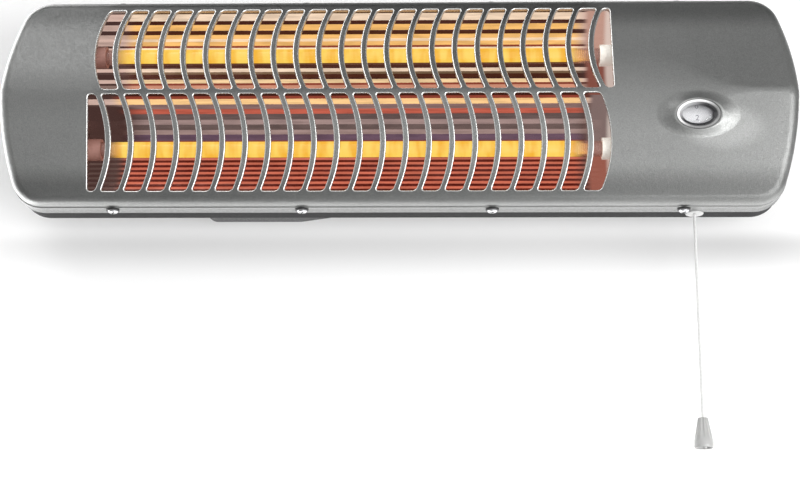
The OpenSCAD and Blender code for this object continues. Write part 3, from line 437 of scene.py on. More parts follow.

# ---------- end plates and reflectors ----------
# Two bright plates close the chamber's ends. Between them each tube has a mirror-bright
# aluminium reflector, folded in flats near the crease and finely fluted at its outer half,
# whose stripes of mirrored glow are painted reflections in its own light.

# The plates' pinkish brown tone is a painted reflection of the glow on bright metal.
plate_metal_painted_glow = speckled_finish(
    "plate_metal_painted_glow", {"Metallic": 0.6}, 40, (0.22, 0.12, 0.1), (0.36, 0.22, 0.18),
    (300, 0.22, 0.38), (2000, 0.00001))
give_finish(plate_metal_painted_glow, "end_plate_left", "end_plate_right")
glow_x, look_up = -31 * mm, 0.385


def reflector_finish(name, top, span, stripes, painted_end_tones, fluted=None):
    """Polished aluminium, itself near black, whose look is painted reflections in its own light:
    the tube's mirrored stripes within the glow's reach, duller tones beyond it and pale ones at
    the right end. The stripes lie by height as it looks from below, from top down over span,
    each stripe as (where it starts, colour)."""
    material, shader, place = finish_called(name, {"Metallic": 0.9})
    x, y, z = place.split()
    streak = place.node("Mapping", {}, {"Vector": place, "Scale": (0.12, 1.0, 1.0)})
    wobble = (place.grain(700) - 0.5) * 0.005 + (streak.grain(60) - 0.5) * 0.004
    level = (top - (z - y * look_up)) / span + wobble
    stripe = level.node("ValToRGB", {"stops": stripes}, {0: level})
    if fluted:
        start, pitch, low, high = fluted
        wave = level.sum("SINE", (level - start) * (2 * math.pi / pitch)).within(-0.7, 0.8)
        wave = (wave + (streak.grain(220) - 0.5) * 0.7).within(0.0, 1.0)
        stripe = level.within(start - 0.002, start + 0.002).colours(
            stripe, wave.colours(low, high))
        # Painted shade: toward the left end the fluted stripes darken to a dull brown.
        flutes_clear_of_painted_shade = x.within(-0.196, -0.16) + level.within(0.1, 0.13, 1.0, 0.0)
        flutes_clear_of_painted_shade = (flutes_clear_of_painted_shade + level.within(0.5, 0.64, 0.0, 0.7)).within(0.0, 1.0)
        stripe = flutes_clear_of_painted_shade.colours((0.045, 0.018, 0.015), stripe)
    stripe = stripe.dimmed(streak.grain(340, 4).within(0.3, 0.7, 0.78, 1.12))
    # The painted reflections are brightest within the glow's reach along the tube, duller beyond
    # it, and paler at the right end.
    lit = (x - glow_x).size().within(0.148, 0.16, 1.0, 0.0)
    dull = stripe.split()[1].within(0.0, 0.7).colours((0.06, 0.03, 0.026), (0.66, 0.46, 0.39))
    painted_end_tone = level.within(0.5, 0.66).colours(*painted_end_tones)
    painted_end_tone = (x.within(0.1385, 0.1425) * 0.6).colours(painted_end_tone, (0.8, 0.7, 0.63))
    dull = x.within(0.125, 0.13).colours(dull, painted_end_tone)
    feed(shader, {"Base Color": (0.028, 0.014, 0.012), "Emission Color": lit.colours(dull, stripe),
                  "Emission Strength": 1.0,
                  "Roughness": place.grain(240).within(0.3, 0.7, 0.2, 0.32)})
    return material


# Colours of the painted reflections in the reflectors.
cream, gold, orange = (0.86, 0.66, 0.49), (0.9, 0.5, 0.16), (0.86, 0.33, 0.09)
brown, maroon, ember = (0.055, 0.028, 0.018), (0.05, 0.012, 0.008), (0.26, 0.05, 0.03)
pink, red = (0.6, 0.27, 0.18), (0.5, 0.11, 0.07)
give_finish(reflector_finish("upper_painted_reflections", 92.74 * mm, 63.96 * mm, [
    (0.0, brown), (0.06, cream), (0.14, maroon), (0.18, gold), (0.25, maroon), (0.295, gold),
    (0.34, (1.0, 0.73, 0.48)), (0.375, gold), (0.42, ember), (0.443, (1.0, 0.76, 0.5)),
    (0.472, orange), (0.63, maroon), (0.682, cream), (0.722, (0.16, 0.1, 0.055)),
    (0.75, maroon), (0.807, (0.88, 0.62, 0.34)), (0.848, ember), (0.875, pink),
    (0.93, maroon)], ((0.5, 0.29, 0.23), (0.22, 0.075, 0.055))), "reflector_upper")
grey_dark, grey_light, violet = (0.12, 0.085, 0.08), (0.33, 0.23, 0.215), (0.12, 0.07, 0.105)
give_finish(reflector_finish("lower_painted_reflections", 30.28 * mm, 70.83 * mm, [
    (0.0, ember), (0.046, (0.96, 0.6, 0.27)), (0.1, (0.24, 0.15, 0.14)), (0.145, red),
    (0.197, grey_dark), (0.255, grey_light), (0.307, grey_dark), (0.36, grey_light),
    (0.41, violet), (0.47, ember)], ((0.2, 0.14, 0.13), (0.3, 0.1, 0.07)),
    (0.6, 0.047, (0.085, 0.004, 0.002), (0.6, 0.15, 0.09))), "reflector_lower")

# ---------- quartz tubes and heating wires ----------
# Each tube is clear quartz, 10.5 mm across, round a close-wound wire. The wire glows brightly,
# and the tube shows as one yellow bar, painted in the quartz's own light, with unlit quartz at
# both ends.

grille_x, tube_y, tube_z = -30.7 * mm, -62.2 * mm, 33 * mm
glass_left, glass_right, coil_l = -206.55 * mm, 145.15 * mm, 318 * mm


class Recipe:
    """A Geometry Nodes tree with named inputs, whose result is baked to a plain mesh."""

    def __init__(self, name, inputs):
        self.tree = bpy.data.node_groups.new(name, "GeometryNodeTree")
        self.given = self.tree.nodes.new("NodeGroupInput")
        self.result = self.tree.nodes.new("NodeGroupOutput")
        self.sockets = {}
        for label, kind in inputs.items():
            socket = self.tree.interface.new_socket(label, in_out="INPUT",
                                                    socket_type="NodeSocket" + kind)
            self.sockets[label] = socket.identifier
        self.tree.interface.new_socket("Geometry", in_out="OUTPUT",
                                       socket_type="NodeSocketGeometry")

    def step(self, kind, sockets, outlet=0):
        made = self.tree.nodes.new(kind if "Node" in kind else "GeometryNode" + kind)
        for name, value in sockets.items():
            if isinstance(value, str):
                value = self.given.outputs[value]
            if isinstance(value, bpy.types.NodeSocket):
                self.tree.links.new(value, made.inputs[name])
            else:
                made.inputs[name].default_value = value
        return made.outputs[outlet]

    def end(self, geometry):
        real = self.step("RealizeInstances", {0: geometry})
        finished = self.step("SetMaterial", {"Geometry": real, "Material": "Finish"})
        self.tree.links.new(finished, self.result.inputs[0])

    def make(self, name, values):
        piece = in_scene(name, bpy.data.meshes.new(name))
        change = piece.modifiers.new("recipe", "NODES")
        change.node_group = self.tree
        for label, value in values.items():
            change[self.sockets[label]] = value
        seen = piece.evaluated_get(bpy.context.evaluated_depsgraph_get())
        baked = bpy.data.meshes.new_from_object(seen)
        piece.modifiers.remove(change)
        piece.data = baked
        return piece


winding = Recipe("winding", {"Curls": "Float", "Points per curl": "Int", "Radius": "Float",
                             "Length": "Float", "Wire": "Float", "Turn": "Vector",
                             "Place": "Vector", "Finish": "Material"})
spiral = winding.step("CurveSpiral", {
    "Resolution": "Points per curl", "Rotations": "Curls", "Start Radius": "Radius",
    "End Radius": "Radius", "Height": "Length"})
section = winding.step("CurvePrimitiveCircle", {"Resolution": 8, "Radius": "Wire"})
tube = winding.step("CurveToMesh", {"Curve": spiral, "Profile Curve": section,
                                    "Fill Caps": True})
soft = winding.step("SetShadeSmooth", {"Geometry": tube})
winding.end(winding.step("Transform", {"Geometry": soft, "Rotation": "Turn",
                                       "Translation": "Place"}))

wire_glow, shader, place = finish_called("wire_glow", {"Emission Strength": 1.6})
x, y, z = place.split()
hot = (x - grille_x).size().within(0.15, 0.163, 1.0, 0.0)
feed(shader, {"Base Color": (0.2, 0.16, 0.14), "Roughness": 0.5, "Metallic": 0.6,
              "Emission Color": hot.colours((0.1, 0.03, 0.015), (1.0, 0.5, 0.1))})

quartz, shader, place = finish_called("quartz", {"Emission Strength": 1.0, "IOR": 1.46})
x, y, z = place.split()
mottle = place.node("Mapping", {}, {"Vector": place, "Scale": (1.0, 0.25, 0.25)}).grain(130)
# Within the glow's reach the quartz gives off the glow as a painted light; at the cold ends a
# pinkish tone and a faint light are a painted reflection of the glow.
lit = (x + 34 * mm).size().within(0.146, 0.16, 1.0, 0.0)
skin = mottle.within(0.32, 0.62).colours((0.9, 0.46, 0.04), (0.97, 0.66, 0.12))
# Painted shade: the upper tube is dark along its lower rear side.
clear_of_painted_shade = ((z - tube_z) * 0.933 - (y - tube_y) * 0.359).within(-0.0044, -0.004)
clear_of_painted_shade = (clear_of_painted_shade + z.within(-0.001, 0.001, 1.0, 0.0)).within(0.0, 1.0)
skin = clear_of_painted_shade.colours((0.07, 0.015, 0.01), skin)
feed(shader, {"Base Color": lit.colours((0.42, 0.25, 0.22), (0.02, 0.01, 0.005)),
              "Roughness": 0.3, "Alpha": lit.within(0.0, 1.0, 0.38, 0.97),
              "Emission Color": lit.colours((0.035, 0.012, 0.008), skin)})


def hoop(name, profile, y, z, sides, material, body, crisp):
    """A ring or tube along the heater: its closed profile of (radius, x) runs round (y, z)."""
    turns = [2 * math.pi * k / sides for k in range(sides)]
    points = [(x, y + r * math.cos(a), z + r * math.sin(a)) for r, x in profile for a in turns]
    return solid_from(name, points, ring_faces(len(profile), sides, closed=True), material,
                      body, crisp)


tube_r, bore_r = 5.25 * mm, 4.25 * mm
for level, side in (("upper", 1), ("lower", -1)):
    glass = hoop("glass_" + level, [(tube_r, glass_left), (tube_r, glass_right),
                                    (bore_r, glass_right), (bore_r, glass_left)],
                 tube_y, side * tube_z, 64, quartz, "heater", 40)
    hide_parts("quartz_tube_" + level)
    coil = winding.make("wire_" + level, {
        "Curls": 240.0, "Points per curl": 10, "Radius": 3.4 * mm, "Length": coil_l,
        "Wire": 0.4 * mm, "Turn": (0.0, math.pi / 2, 0.0),
        "Place": (grille_x - coil_l / 2, tube_y, side * tube_z), "Finish": wire_glow})
    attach(coil, "heater")
    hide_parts("heating_coil_" + level)

# ---------- ceramic caps, pins and leads ----------
# White ceramic caps hold the tubes in the end plates. Threaded pins with brass nuts come
# out behind them, and leads in red silicone sleeving join them to the switch.

ceramic, shader, place = finish_called("ceramic", {"Emission Strength": 1.0})
x, y, z = place.split()
chalk = place.grain(500, 4)
# The caps at the right end are white glaze that gives off a painted light; the caps at the left end
# are darker and reddish, with a faint reddish painted light.
white_glaze = chalk.colours((0.8, 0.76, 0.69), (0.9, 0.88, 0.83))
left_cap_tone = chalk.colours((0.26, 0.12, 0.095), (0.44, 0.24, 0.2))
right_end = x.within(-0.01, 0.01)
feed(shader, {"Base Color": right_end.colours(left_cap_tone, white_glaze),
              "Roughness": chalk.within(0.3, 0.7, 0.55, 0.75), "Normal": chalk.relief(0.00004),
              "Emission Color": right_end.colours((0.05, 0.02, 0.015), (0.3, 0.28, 0.25))})
give_finish(ceramic, "cap_upper_left", "cap_upper_right", "cap_lower_left", "cap_lower_right")
give_finish(zinc, "terminal_pins")

sleeve = speckled_finish(
    "sleeve", {"Sheen Weight": 0.1}, 180, (0.3, 0.035, 0.025), (0.42, 0.06, 0.04),
    (900, 0.5, 0.68), (1400, 0.00003))
give_finish(sleeve, "supply_leads")

# ---------- front cover ----------
# One pressed sheet in textured metallic grey: a crease runs along its middle, two rows of
# openings leave 22 bowed bars each, with their rims folded in, and the metal swells softly
# round the switch window.

cover_rear, cover_edge, crease_y, edge_r = -48 * mm, -67.5 * mm, -85.1 * mm, 7 * mm
skirt_lean, lip_d, lip_step, crease_r = 0.6 * mm, 11.5 * mm, 0.5 * mm, 10 * mm
face_h = body_h / 2 - skirt_lean
slope = math.atan((cover_edge - crease_y) / face_h)
bar_count, bar_pitch, bar_w, bar_bow, slot_start = 22, 15.1 * mm, 4 * mm, 6.8 * mm, 1.9 * mm
rim_d, bend_r, slot_r, last_w = 2 * mm, 0.7 * mm, 2 * mm, 6.8 * mm
row_ends = ((1, 66 * mm), (-1, 65.8 * mm))
edge_inset = skirt_lean + edge_r


def face_depth(z):
    if abs(z) < crease_r * math.sin(slope):
        return crease_y + crease_r / math.cos(slope) - math.sqrt(crease_r ** 2 - z * z)
    return crease_y + abs(z) * math.tan(slope)


def on_face(side, x, v, out=0.0):
    """A point v away from the crease along the upper or lower face, out of it by out."""
    z = side * v * math.cos(slope)
    return Vector((x, face_depth(z) - out * math.cos(slope), z + side * out * math.sin(slope)))


def opening_line(v1, grow, straight_end):
    """The outline of a row's first opening, or of its last one, as (along, from crease)."""
    r, a0, a1 = slot_r + grow, slot_start - grow, v1 + grow

    def bow(v):
        return bar_bow * (1 - ((2 * v - slot_start - v1) / (v1 - slot_start)) ** 2)
    arc = [math.pi / 2 * (1 - k / 5) for k in range(6)]
    side = [(a0 + r * (1 - math.sin(a)), r * (1 - math.cos(a))) for a in arc]
    side += [(a0 + r + (a1 - a0 - 2 * r) * k / 18, 0) for k in range(1, 18)]
    side += [(a1 - r * (1 - math.sin(a)), r * (1 - math.cos(a))) for a in arc[::-1]]
    start = -bar_count * bar_pitch / 2 + (bar_count * bar_pitch if straight_end else 0)
    left, right = start + bar_w / 2 - grow, start + bar_pitch - bar_w / 2 + grow
    line = [(left + inset - bow(v), v) for v, inset in side]
    if straight_end:
        line += [(start + last_w + grow - inset, v) for v, inset in side[::-1]]
    else:
        line += [(right - inset - bow(v), v) for v, inset in side[::-1]]
    return line


folds = [(bend_r * (1 - math.sin(a)), bend_r * (1 - math.cos(a)))
         for a in (math.pi / 10 * k for k in range(6))] + [(0.0, sheet_t + rim_d)]


def folded_rim(side, v1, straight_end):
    """The sheet round one opening, from the flat face over the bend and down the rim."""
    points = []
    for grow, down in folds:
        points += [on_face(side, grille_x + side * along, v, -down)
                   for along, v in opening_line(v1, grow, straight_end)]
    n = len(points) // len(folds)
    mesh = bpy.data.meshes.new("opening_pattern")
    mesh.from_pydata(points, [], ring_faces(len(folds), n, capped=False))
    return in_scene("opening_pattern", mesh)


row = Recipe("row_of_openings", {"Opening": "Object", "Number": "Int", "Step": "Vector",
                                 "Finish": "Material"})
spots = row.step("MeshLine", {"Count": "Number", "Offset": "Step"})
rim = row.step("ObjectInfo", {"Object": "Opening"}, "Geometry")
row.end(row.step("InstanceOnPoints", {"Points": spots, "Instance": rim}))

cover_paint, shader, place = finish_called("cover_paint", {"Coat Roughness": 0.12})
x, y, z = place.split()
leather = place.grain(430, 3)
flake = place.node("TexVoronoi", {}, {"Vector": place, "Scale": 2600.0}, "Color").split()[0]
tone = (place.grain(9) * 0.5 + flake * 0.3 + leather * 0.2).within(0.25, 0.75)

# Painted light and shade: the sheet's colour is darker toward its left end, lighter on the lower
# face and most at its left, darker over the upper bars and along its long edges, lighter over the
# rolled edge and darker on the skirt behind it, with a painted highlight below and right of the
# switch window.
tall = z.size()
shade = x.within(-0.12, 0.17, 0.76, 1.0) * z.within(-0.03, 0.01, 1.05, 1.0)
shade = shade * (z.within(-0.03, 0.0, 0.3, 0.0) * x.within(-0.1, 0.14, 1.0, 0.0) + 1)
painted_glint_x, painted_glint_z = x - 213 * mm, z + 24 * mm
painted_glint = painted_glint_x * painted_glint_x / 0.00058 + painted_glint_z * painted_glint_z / 0.00017
shade = shade * (painted_glint.within(0.2, 1.7, 0.4, 0.0) + 1)
shade = shade * (y.within(-0.068, -0.064, 0.0, 0.17) + y.within(-0.06, -0.054, 0.0, -0.4) + 1)
bars = (x - glow_x).size().within(0.155, 0.172, -0.42, 0.0)
shade = shade * (bars * z.within(-0.004, 0.002) + 1)
shade = shade * (tall.within(0.045, 0.062, 0.0, -0.46) * y.within(-0.0695, -0.066, 1.0, 0.2) + 1)
# The paint's own tone, dimmed and lightened by the painted light and shade.
paint = tone.colours((0.135, 0.138, 0.135), (0.19, 0.193, 0.189)).dimmed(shade)

# The crease is pressed softly: the light turns over it within half a span, widest at the
# left and the middle, and tight at the right end.
span = x.within(0.165, 0.232, 0.028, 0.0024)
turned_over, half_slope, crease_half = 0.0, 0.1224, 0.00238
for reach, share in ((span, -half_slope), (crease_half, half_slope)):
    near = place.sum("MAXIMUM", 1 - tall / reach, 0.0)
    turned_over = near * near * reach * share + turned_over
rough_coat = (leather * 0.8 + flake * 0.2) * 0.00012
feed(shader, {"Base Color": paint, "Metallic": 0.55, "Coat Weight": 0.12,
              "Roughness": leather.within(0.3, 0.7, 0.34, 0.46),
              "Normal": (rough_coat + turned_over).relief(1.0)})

# The openings' rims are painted a lighter grey than the face: a painted highlight on their bends
# and walls.
rim_painted_highlight = speckled_finish(
    "rim_painted_highlight", {"Metallic": 0.8}, 300, (0.5, 0.5, 0.49), (0.62, 0.62, 0.61),
    (600, 0.2, 0.3))

rows = []
for side, v1 in row_ends:
    for straight_end, number in ((False, bar_count), (True, 1)):
        pattern = folded_rim(side, v1, straight_end)
        rows.append(row.make("openings", {"Opening": pattern, "Number": number,
                                          "Step": (side * bar_pitch, 0.0, 0.0),
                                          "Finish": cover_paint}))
        bpy.data.objects.remove(pattern)

window_x, window_v, dish_w, dish_h, swell = 196.8 * mm, 16.4 * mm, 28.5 * mm, 19 * mm, 2.6 * mm
swell_side, swell_above, flare, brim_r, oval_steps = 14 * mm, 6.5 * mm, 0.86, 0.9 * mm, 96


def window_oval(half_w, half_h, out):
    """An oval round the switch window's middle, which lies out of the lower face by out."""
    turns = [2 * math.pi * k / oval_steps for k in range(oval_steps)]
    return [on_face(-1, window_x + half_w * math.cos(a), window_v + half_h * math.sin(a), out)
            for a in turns]


mound = []
for k in range(17):
    share = 1 - flare * k / 16
    mound.append(window_oval(dish_w / 2 + share * swell_side, dish_h / 2 + share * swell_above,
                             swell * ((1 - share) / flare) ** 1.7))
for a in (math.pi / 10 * k for k in range(6)):
    grown = brim_r * (1 - math.sin(a))
    mound.append(window_oval(dish_w / 2 + grown, dish_h / 2 + grown,
                             swell - brim_r + brim_r * math.cos(a)))
mound.append(window_oval(dish_w / 2, dish_h / 2, swell - 1.5 * mm))

# The flat sheet is filled in between the rolled edge, the openings and the swelling,
# with extra points along the crease so that it bends there.
skirt = [rolled_loop(k / 8, edge_inset, edge_r, crease_y, slope, crease_r)
         for k in range(8, -1, -1)]
skirt += [wall_loop(lip_step + 0.1 * mm, cover_rear - lip_d),
          wall_loop(0, cover_rear - lip_d + 0.4 * mm),
          wall_loop(0, cover_rear)]
flat, edges, holes = [], [], []


def add_line(line):
    start = len(flat)
    flat.extend(Vector((p.x, p.z)) for p in line)
    edges.extend((start + i, start + (i + 1) % len(line)) for i in range(len(line)))


add_line(skirt[0])
for side, v1 in row_ends:
    for k in range(bar_count + 1):
        last = k == bar_count
        shift = 0 if last else side * k * bar_pitch
        line = [on_face(side, grille_x + side * along, v) + Vector((shift, 0, 0))
                for along, v in opening_line(v1, bend_r, last)]
        add_line(line)
        holes.append([(p.x, p.z) for p in line])
add_line(mound[0])
holes.append([(p.x, p.z) for p in mound[0]])


def inside(polygon, x, z):
    hit = False
    for (x0, z0), (x1, z1) in zip(polygon, polygon[1:] + polygon[:1]):
        if (z0 > z) != (z1 > z) and x < x0 + (z - z0) / (z1 - z0) * (x1 - x0):
            hit = not hit
    return hit


def in_a_hole(x, z, room=0.0):
    for hole in holes:
        xs, zs = [p[0] for p in hole], [p[1] for p in hole]
        if min(xs) - room < x < max(xs) + room and min(zs) - room < z < max(zs) + room:
            if inside(hole, x, z) or room and min(
                    math.hypot(px - x, pz - z) for px, pz in hole) < room:
                return True
    return False


crease_levels = (0, 0.64, 1.28, 1.92, 2.56, 3.2, 4.2, 6)
for level in [-rise for rise in crease_levels[:0:-1]] + list(crease_levels):
    for k in range(-172, 173):
        x, z = k * 1.5 * mm, level * mm
        if not in_a_hole(x, z, 0.35 * mm):
            flat.append(Vector((x, z)))
corners, _, triangles, *_ = delaunay_2d_cdt(flat, edges, [], 1, 1e-7)
sheet = bmesh.new()
spots = [sheet.verts.new((p.x, face_depth(p.y), p.y)) for p in corners]
for triangle in triangles:
    middle = sum((corners[i] for i in triangle), Vector((0, 0))) / 3
    if not in_a_hole(middle.x, middle.y):
        sheet.faces.new([spots[i] for i in triangle])
for rings in (skirt, mound):
    base = [[sheet.verts.new(p) for p in ring] for ring in rings]
    for one, two in zip(base, base[1:]):
        for i in range(len(one)):
            j = (i + 1) % len(one)
            sheet.faces.new((one[i], one[j], two[j], two[i]))
painted = len(sheet.faces)
for openings in rows:
    sheet.from_mesh(openings.data)
    bpy.data.objects.remove(openings)
sheet.faces.ensure_lookup_table()
for face in sheet.faces[painted:]:
    face.material_index = 1
bmesh.ops.remove_doubles(sheet, verts=sheet.verts, dist=4e-6)
bmesh.ops.dissolve_degenerate(sheet, edges=sheet.edges, dist=1e-7)
loose = [v for v in sheet.verts if not v.link_faces]
bmesh.ops.delete(sheet, geom=loose, context="VERTS")
bmesh.ops.recalc_face_normals(sheet, faces=sheet.faces)
if sum(f.normal.y * f.calc_area() for f in sheet.faces) > 0:
    bmesh.ops.reverse_faces(sheet, faces=sheet.faces)
pressed_cover = meshed("pressed_cover", sheet, cover_paint, rim_painted_highlight)
pressed_cover.data.shade_smooth()
smooth_sheet(pressed_cover, sheet_t)
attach(pressed_cover, "heater")
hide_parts("front_cover")

# ---------- cover screws ----------
# Eight bright pan-head screws with cross recesses hold the cover to the tray, four along
# its bottom and four along its top, each on a thin black washer, which also stands as a
# painted shade for the dark gap round its head.

screw_step, screw_y, washer_y, cross_turn = 125.8 * mm, -55 * mm, -55.7 * mm, 0.4
screw_chrome, shader, place = finish_called("screw_chrome", {"Metallic": 1.0})
x, y, z = place.split()
along = x.sum("WRAP", x + 1.5 * screw_step, screw_step / 2)
along.socket.node.inputs[2].default_value = -screw_step / 2
across = y - screw_y
cross_arms = [(along * math.cos(turn) + across * math.sin(turn)).size()
              for turn in (cross_turn, cross_turn + math.pi / 2)]
# Painted shade: the cross recess in each head is painted near black.
painted_recess_shade = z.sum("MINIMUM", *cross_arms).within(0.00035, 0.00055, 1.0, 0.0)
painted_recess_shade = painted_recess_shade * z.sum("MAXIMUM", *cross_arms).within(0.0019, 0.0022, 1.0, 0.0)
steel = place.grain(700).colours((0.34, 0.34, 0.35), (0.46, 0.46, 0.47))
feed(shader, {"Base Color": painted_recess_shade.colours(steel, (0.02, 0.02, 0.02)),
              "Roughness": place.grain(900).within(0.3, 0.7, 0.12, 0.26),
              "Normal": place.grain(2600).relief(0.00001)})
head = [(0.0, -6.0), (1.75, -6.0), (1.75, 0.0), (3.45, 0.0), (3.7, 0.12), (3.75, 0.35),
        (3.62, 1.0), (3.2, 1.75), (2.55, 2.2), (1.6, 2.39), (0.8, 2.45), (0.0, 2.46)]
pan_head = turned("pan_head", [(max(r, 0.001) * mm, h * mm) for r, h in head], (0, 0, 0), 48,
                  screw_chrome, "heater")
arms = bmesh.new()
for turn in (0, math.pi / 2):
    for v in bmesh.ops.create_cube(arms, size=1)["verts"]:
        v.co = Matrix.Rotation(turn, 3, "Z") @ Vector((
            v.co.x * (4.2 if v.co.z > 0 else 1.6) * mm, v.co.y * 0.8 * mm,
            (2.2 + v.co.z * 2.2) * mm))
cross = meshed("cross", arms)
recess = pan_head.modifiers.new("recess", "BOOLEAN")
recess.object, recess.operation, recess.solver = cross, "DIFFERENCE", "EXACT"
recess.use_self = True

screws = Recipe("screw_row", {"Screw": "Object", "Number": "Int", "Start": "Vector",
                              "Step": "Vector", "Turn": "Vector", "Finish": "Material"})
spots = screws.step("MeshLine", {"Count": "Number", "Start Location": "Start",
                                 "Offset": "Step"})
one = screws.step("ObjectInfo", {"Object": "Screw"}, "Geometry")
turn = screws.step("FunctionNodeEulerToRotation", {0: "Turn"})
screws.end(screws.step("InstanceOnPoints", {"Points": spots, "Instance": one,
                                            "Rotation": turn}))


def gathered(name, parts, material):
    """One mesh piece made of several, which are used up."""
    form = bmesh.new()
    for part in parts:
        form.from_mesh(part.data)
        bpy.data.objects.remove(part)
    return meshed(name, form, material)


def screwed_rows(name, pattern, y, turn, material):
    """Four of the pattern along the heater's top and four upside down along its bottom."""
    return gathered(name, [screws.make("row_of_four", {
        "Screw": pattern, "Number": 4, "Start": (-1.5 * screw_step, y, side * body_h / 2),
        "Step": (screw_step, 0.0, 0.0), "Turn": (0.0 if side > 0 else math.pi, 0.0, turn),
        "Finish": material}) for side in (1, -1)], material)


bright_screws = screwed_rows("bright_screws", pan_head, screw_y, cross_turn, screw_chrome)
bright_screws.data.set_sharp_from_angle(angle=math.radians(35))
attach(bright_screws, "heater")
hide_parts("cover_screws")

# The washers are made wide enough to stand for the shade in the gap round each screw head, a
# painted shade.
washer = turned("washer", [(r * mm, h * mm) for r, h in
                           ((1.9, 0.0), (4.4, 0.0), (4.4, 1.1), (4.2, 1.3), (1.9, 1.3))],
                (0, 0, 0), 48, grip_plastic, "heater")
screw_washers = screwed_rows("screw_washers", washer, washer_y, 0.0, grip_plastic)
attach(screw_washers, "heater")
for pattern in (pan_head, cross, washer):
    bpy.data.objects.remove(pattern)

# ---------- switch window ----------
# A pale grey moulded bezel fills the dish and slopes down to a clear domed lens, through
# which one number of the drum shows.

bezel_plastic, shader, place = finish_called("bezel_plastic", {"Coat Roughness": 0.1})
x, y, z = place.split()
# Painted light and shade: the bezel's slope and lip are light at their upper left and dark at their
# lower right.
painted_light_side = (z + 15.9 * mm) * 1.3 - (x - window_x)
slope_grey = painted_light_side.within(0.002, 0.016).colours((0.03, 0.03, 0.032), (0.42, 0.42, 0.43))
lip_grey = painted_light_side.within(-0.008, 0.01).colours((0.24, 0.24, 0.24), (0.9, 0.9, 0.9))
raised = (crease_y - y) * math.cos(slope) - z * math.sin(slope)
feed(shader, {"Base Color": raised.within(0.0014, 0.002).colours(slope_grey, lip_grey),
              "Roughness": place.grain(900).within(0.3, 0.7, 0.26, 0.4), "Coat Weight": 0.15,
              "Normal": place.grain(1500).relief(0.00001)})
lens_w, lens_h = 20.4 * mm, 12 * mm


def oval_rings(w, h, profile):
    """Ovals round the window's middle, each as (growth from w by h, distance out)."""
    return [window_oval(w / 2 + grown * mm, h / 2 + grown * mm, out * mm)
            for grown, out in profile]


rings = oval_rings(dish_w, dish_h, [(1.5, -4), (1.5, 1.7), (-0.2, 1.7), (-0.2, 2.15),
                                    (-0.35, 2.3), (-0.8, 2.3), (-1.0, 2.15)])
rings += oval_rings(lens_w, lens_h, [(0.9, 0.9), (0.35, 0.15), (0.1, -0.1), (0.1, -4)])
window_ring = solid_from("window_ring", sum(rings, []),
                         ring_faces(len(rings), oval_steps, closed=True),
                         bezel_plastic, "heater", 40)
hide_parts("window_bezel")

clear_plastic, shader, place = finish_called("clear_plastic", {"IOR": 1.49, "Roughness": 0.04})
feed(shader, {"Base Color": (0.93, 0.94, 0.97), "Coat Weight": 0.5,
              "Alpha": place.grain(90).within(0.3, 0.7, 0.06, 0.12)})
rings = oval_rings(lens_w, lens_h, [(0.0, -3.6), (0.0, -1.9), (-0.15, -1.55), (-0.5, -1.3),
                                    (-1.4, -1.1), (-2.6, -1.02), (-3.9, -1.0)])
clear_lens = solid_from("clear_lens", sum(rings, []), ring_faces(len(rings), oval_steps),
                        clear_plastic, "heater", 60)
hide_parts("window_lens")

# ---------- pull-cord switch ----------
# The cord turns a grooved sector, whose pawl steps a toothed wheel. The white drum beside
# it turns along and shows 0, 1 or 2 in the window.

sector_r, drum_r, drum_w = 19.4 * mm, 12.5 * mm, 20 * mm
axle_y, axle_z = cord_y - sector_r, -window_v * math.cos(slope) + 0.6 * mm
# The drum gives off a faint painted light of its own.
drum_plastic_painted_glow = speckled_finish(
    "drum_plastic_painted_glow", {"Emission Strength": 1.0, "Emission Color": (0.05, 0.05, 0.055)}, 220,
    (0.54, 0.54, 0.55), (0.64, 0.64, 0.64), (900, 0.35, 0.5))
drum_profile = [(3, 0.4), (11.6, 0.4), (12.2, 0.0), (12.5, 0.3), (12.5, 19.7), (12.2, 20.0),
                (11.6, 19.6), (3, 19.6)]
white_drum = hoop("white_drum", [(r * mm, window_x - drum_w / 2 + x * mm) for r, x in drum_profile],
                  axle_y, axle_z, 96, drum_plastic_painted_glow, "drum", 35)
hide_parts("number_drum")

number_ink, shader, place = finish_called("number_ink", {"Roughness": 0.5})
feed(shader, {"Base Color": place.grain(600).colours((0.03, 0.025, 0.05), (0.06, 0.05, 0.09))})
number_h, number_out, number_turn = 5.2 * mm, 0.14 * mm, -7
numbers = []
for k in range(9):
    words = bpy.data.curves.new("number", "FONT")
    words.body = str((2, 0, 1)[k % 3])
    words.size, words.extrude = number_h, number_out
    words.align_x, words.align_y = "CENTER", "CENTER"
    written = in_scene("number", words)
    bpy.context.view_layer.update()
    mesh = bpy.data.meshes.new_from_object(
        written.evaluated_get(bpy.context.evaluated_depsgraph_get()))
    bpy.data.objects.remove(written)
    for v in mesh.vertices:
        a = math.radians(40 * k + number_turn) + v.co.y / drum_r
        r = drum_r + v.co.z
        v.co = (window_x + v.co.x, axle_y - r * math.cos(a), axle_z + r * math.sin(a))
    numbers.append(in_scene("number", mesh))
drum_numbers = gathered("drum_numbers", numbers, number_ink)
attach(drum_numbers, "drum")

switch_plastic = speckled_finish(
    "switch_plastic", {}, 90, (0.045, 0.05, 0.055), (0.065, 0.07, 0.078),
    (900, 0.4, 0.55), (1400, 0.00002))
give_finish(switch_plastic, "ratchet_wheel", "pull_sector")
give_finish(zinc, "switch_frame", "switch_axle", "ratchet_pawl")

bush_top = tray_floor + 2.6 * mm
spring = winding.make("spring_wire", {
    "Curls": 7.0, "Points per curl": 28, "Radius": 3.3 * mm, "Length": 21.2 * mm,
    "Wire": 0.35 * mm, "Turn": (0.0, 0.0, 0.0),
    "Place": (cord_x, cord_y, bush_top + 0.4 * mm), "Finish": zinc})
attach(spring, "heater")
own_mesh(spring)
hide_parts("return_spring")

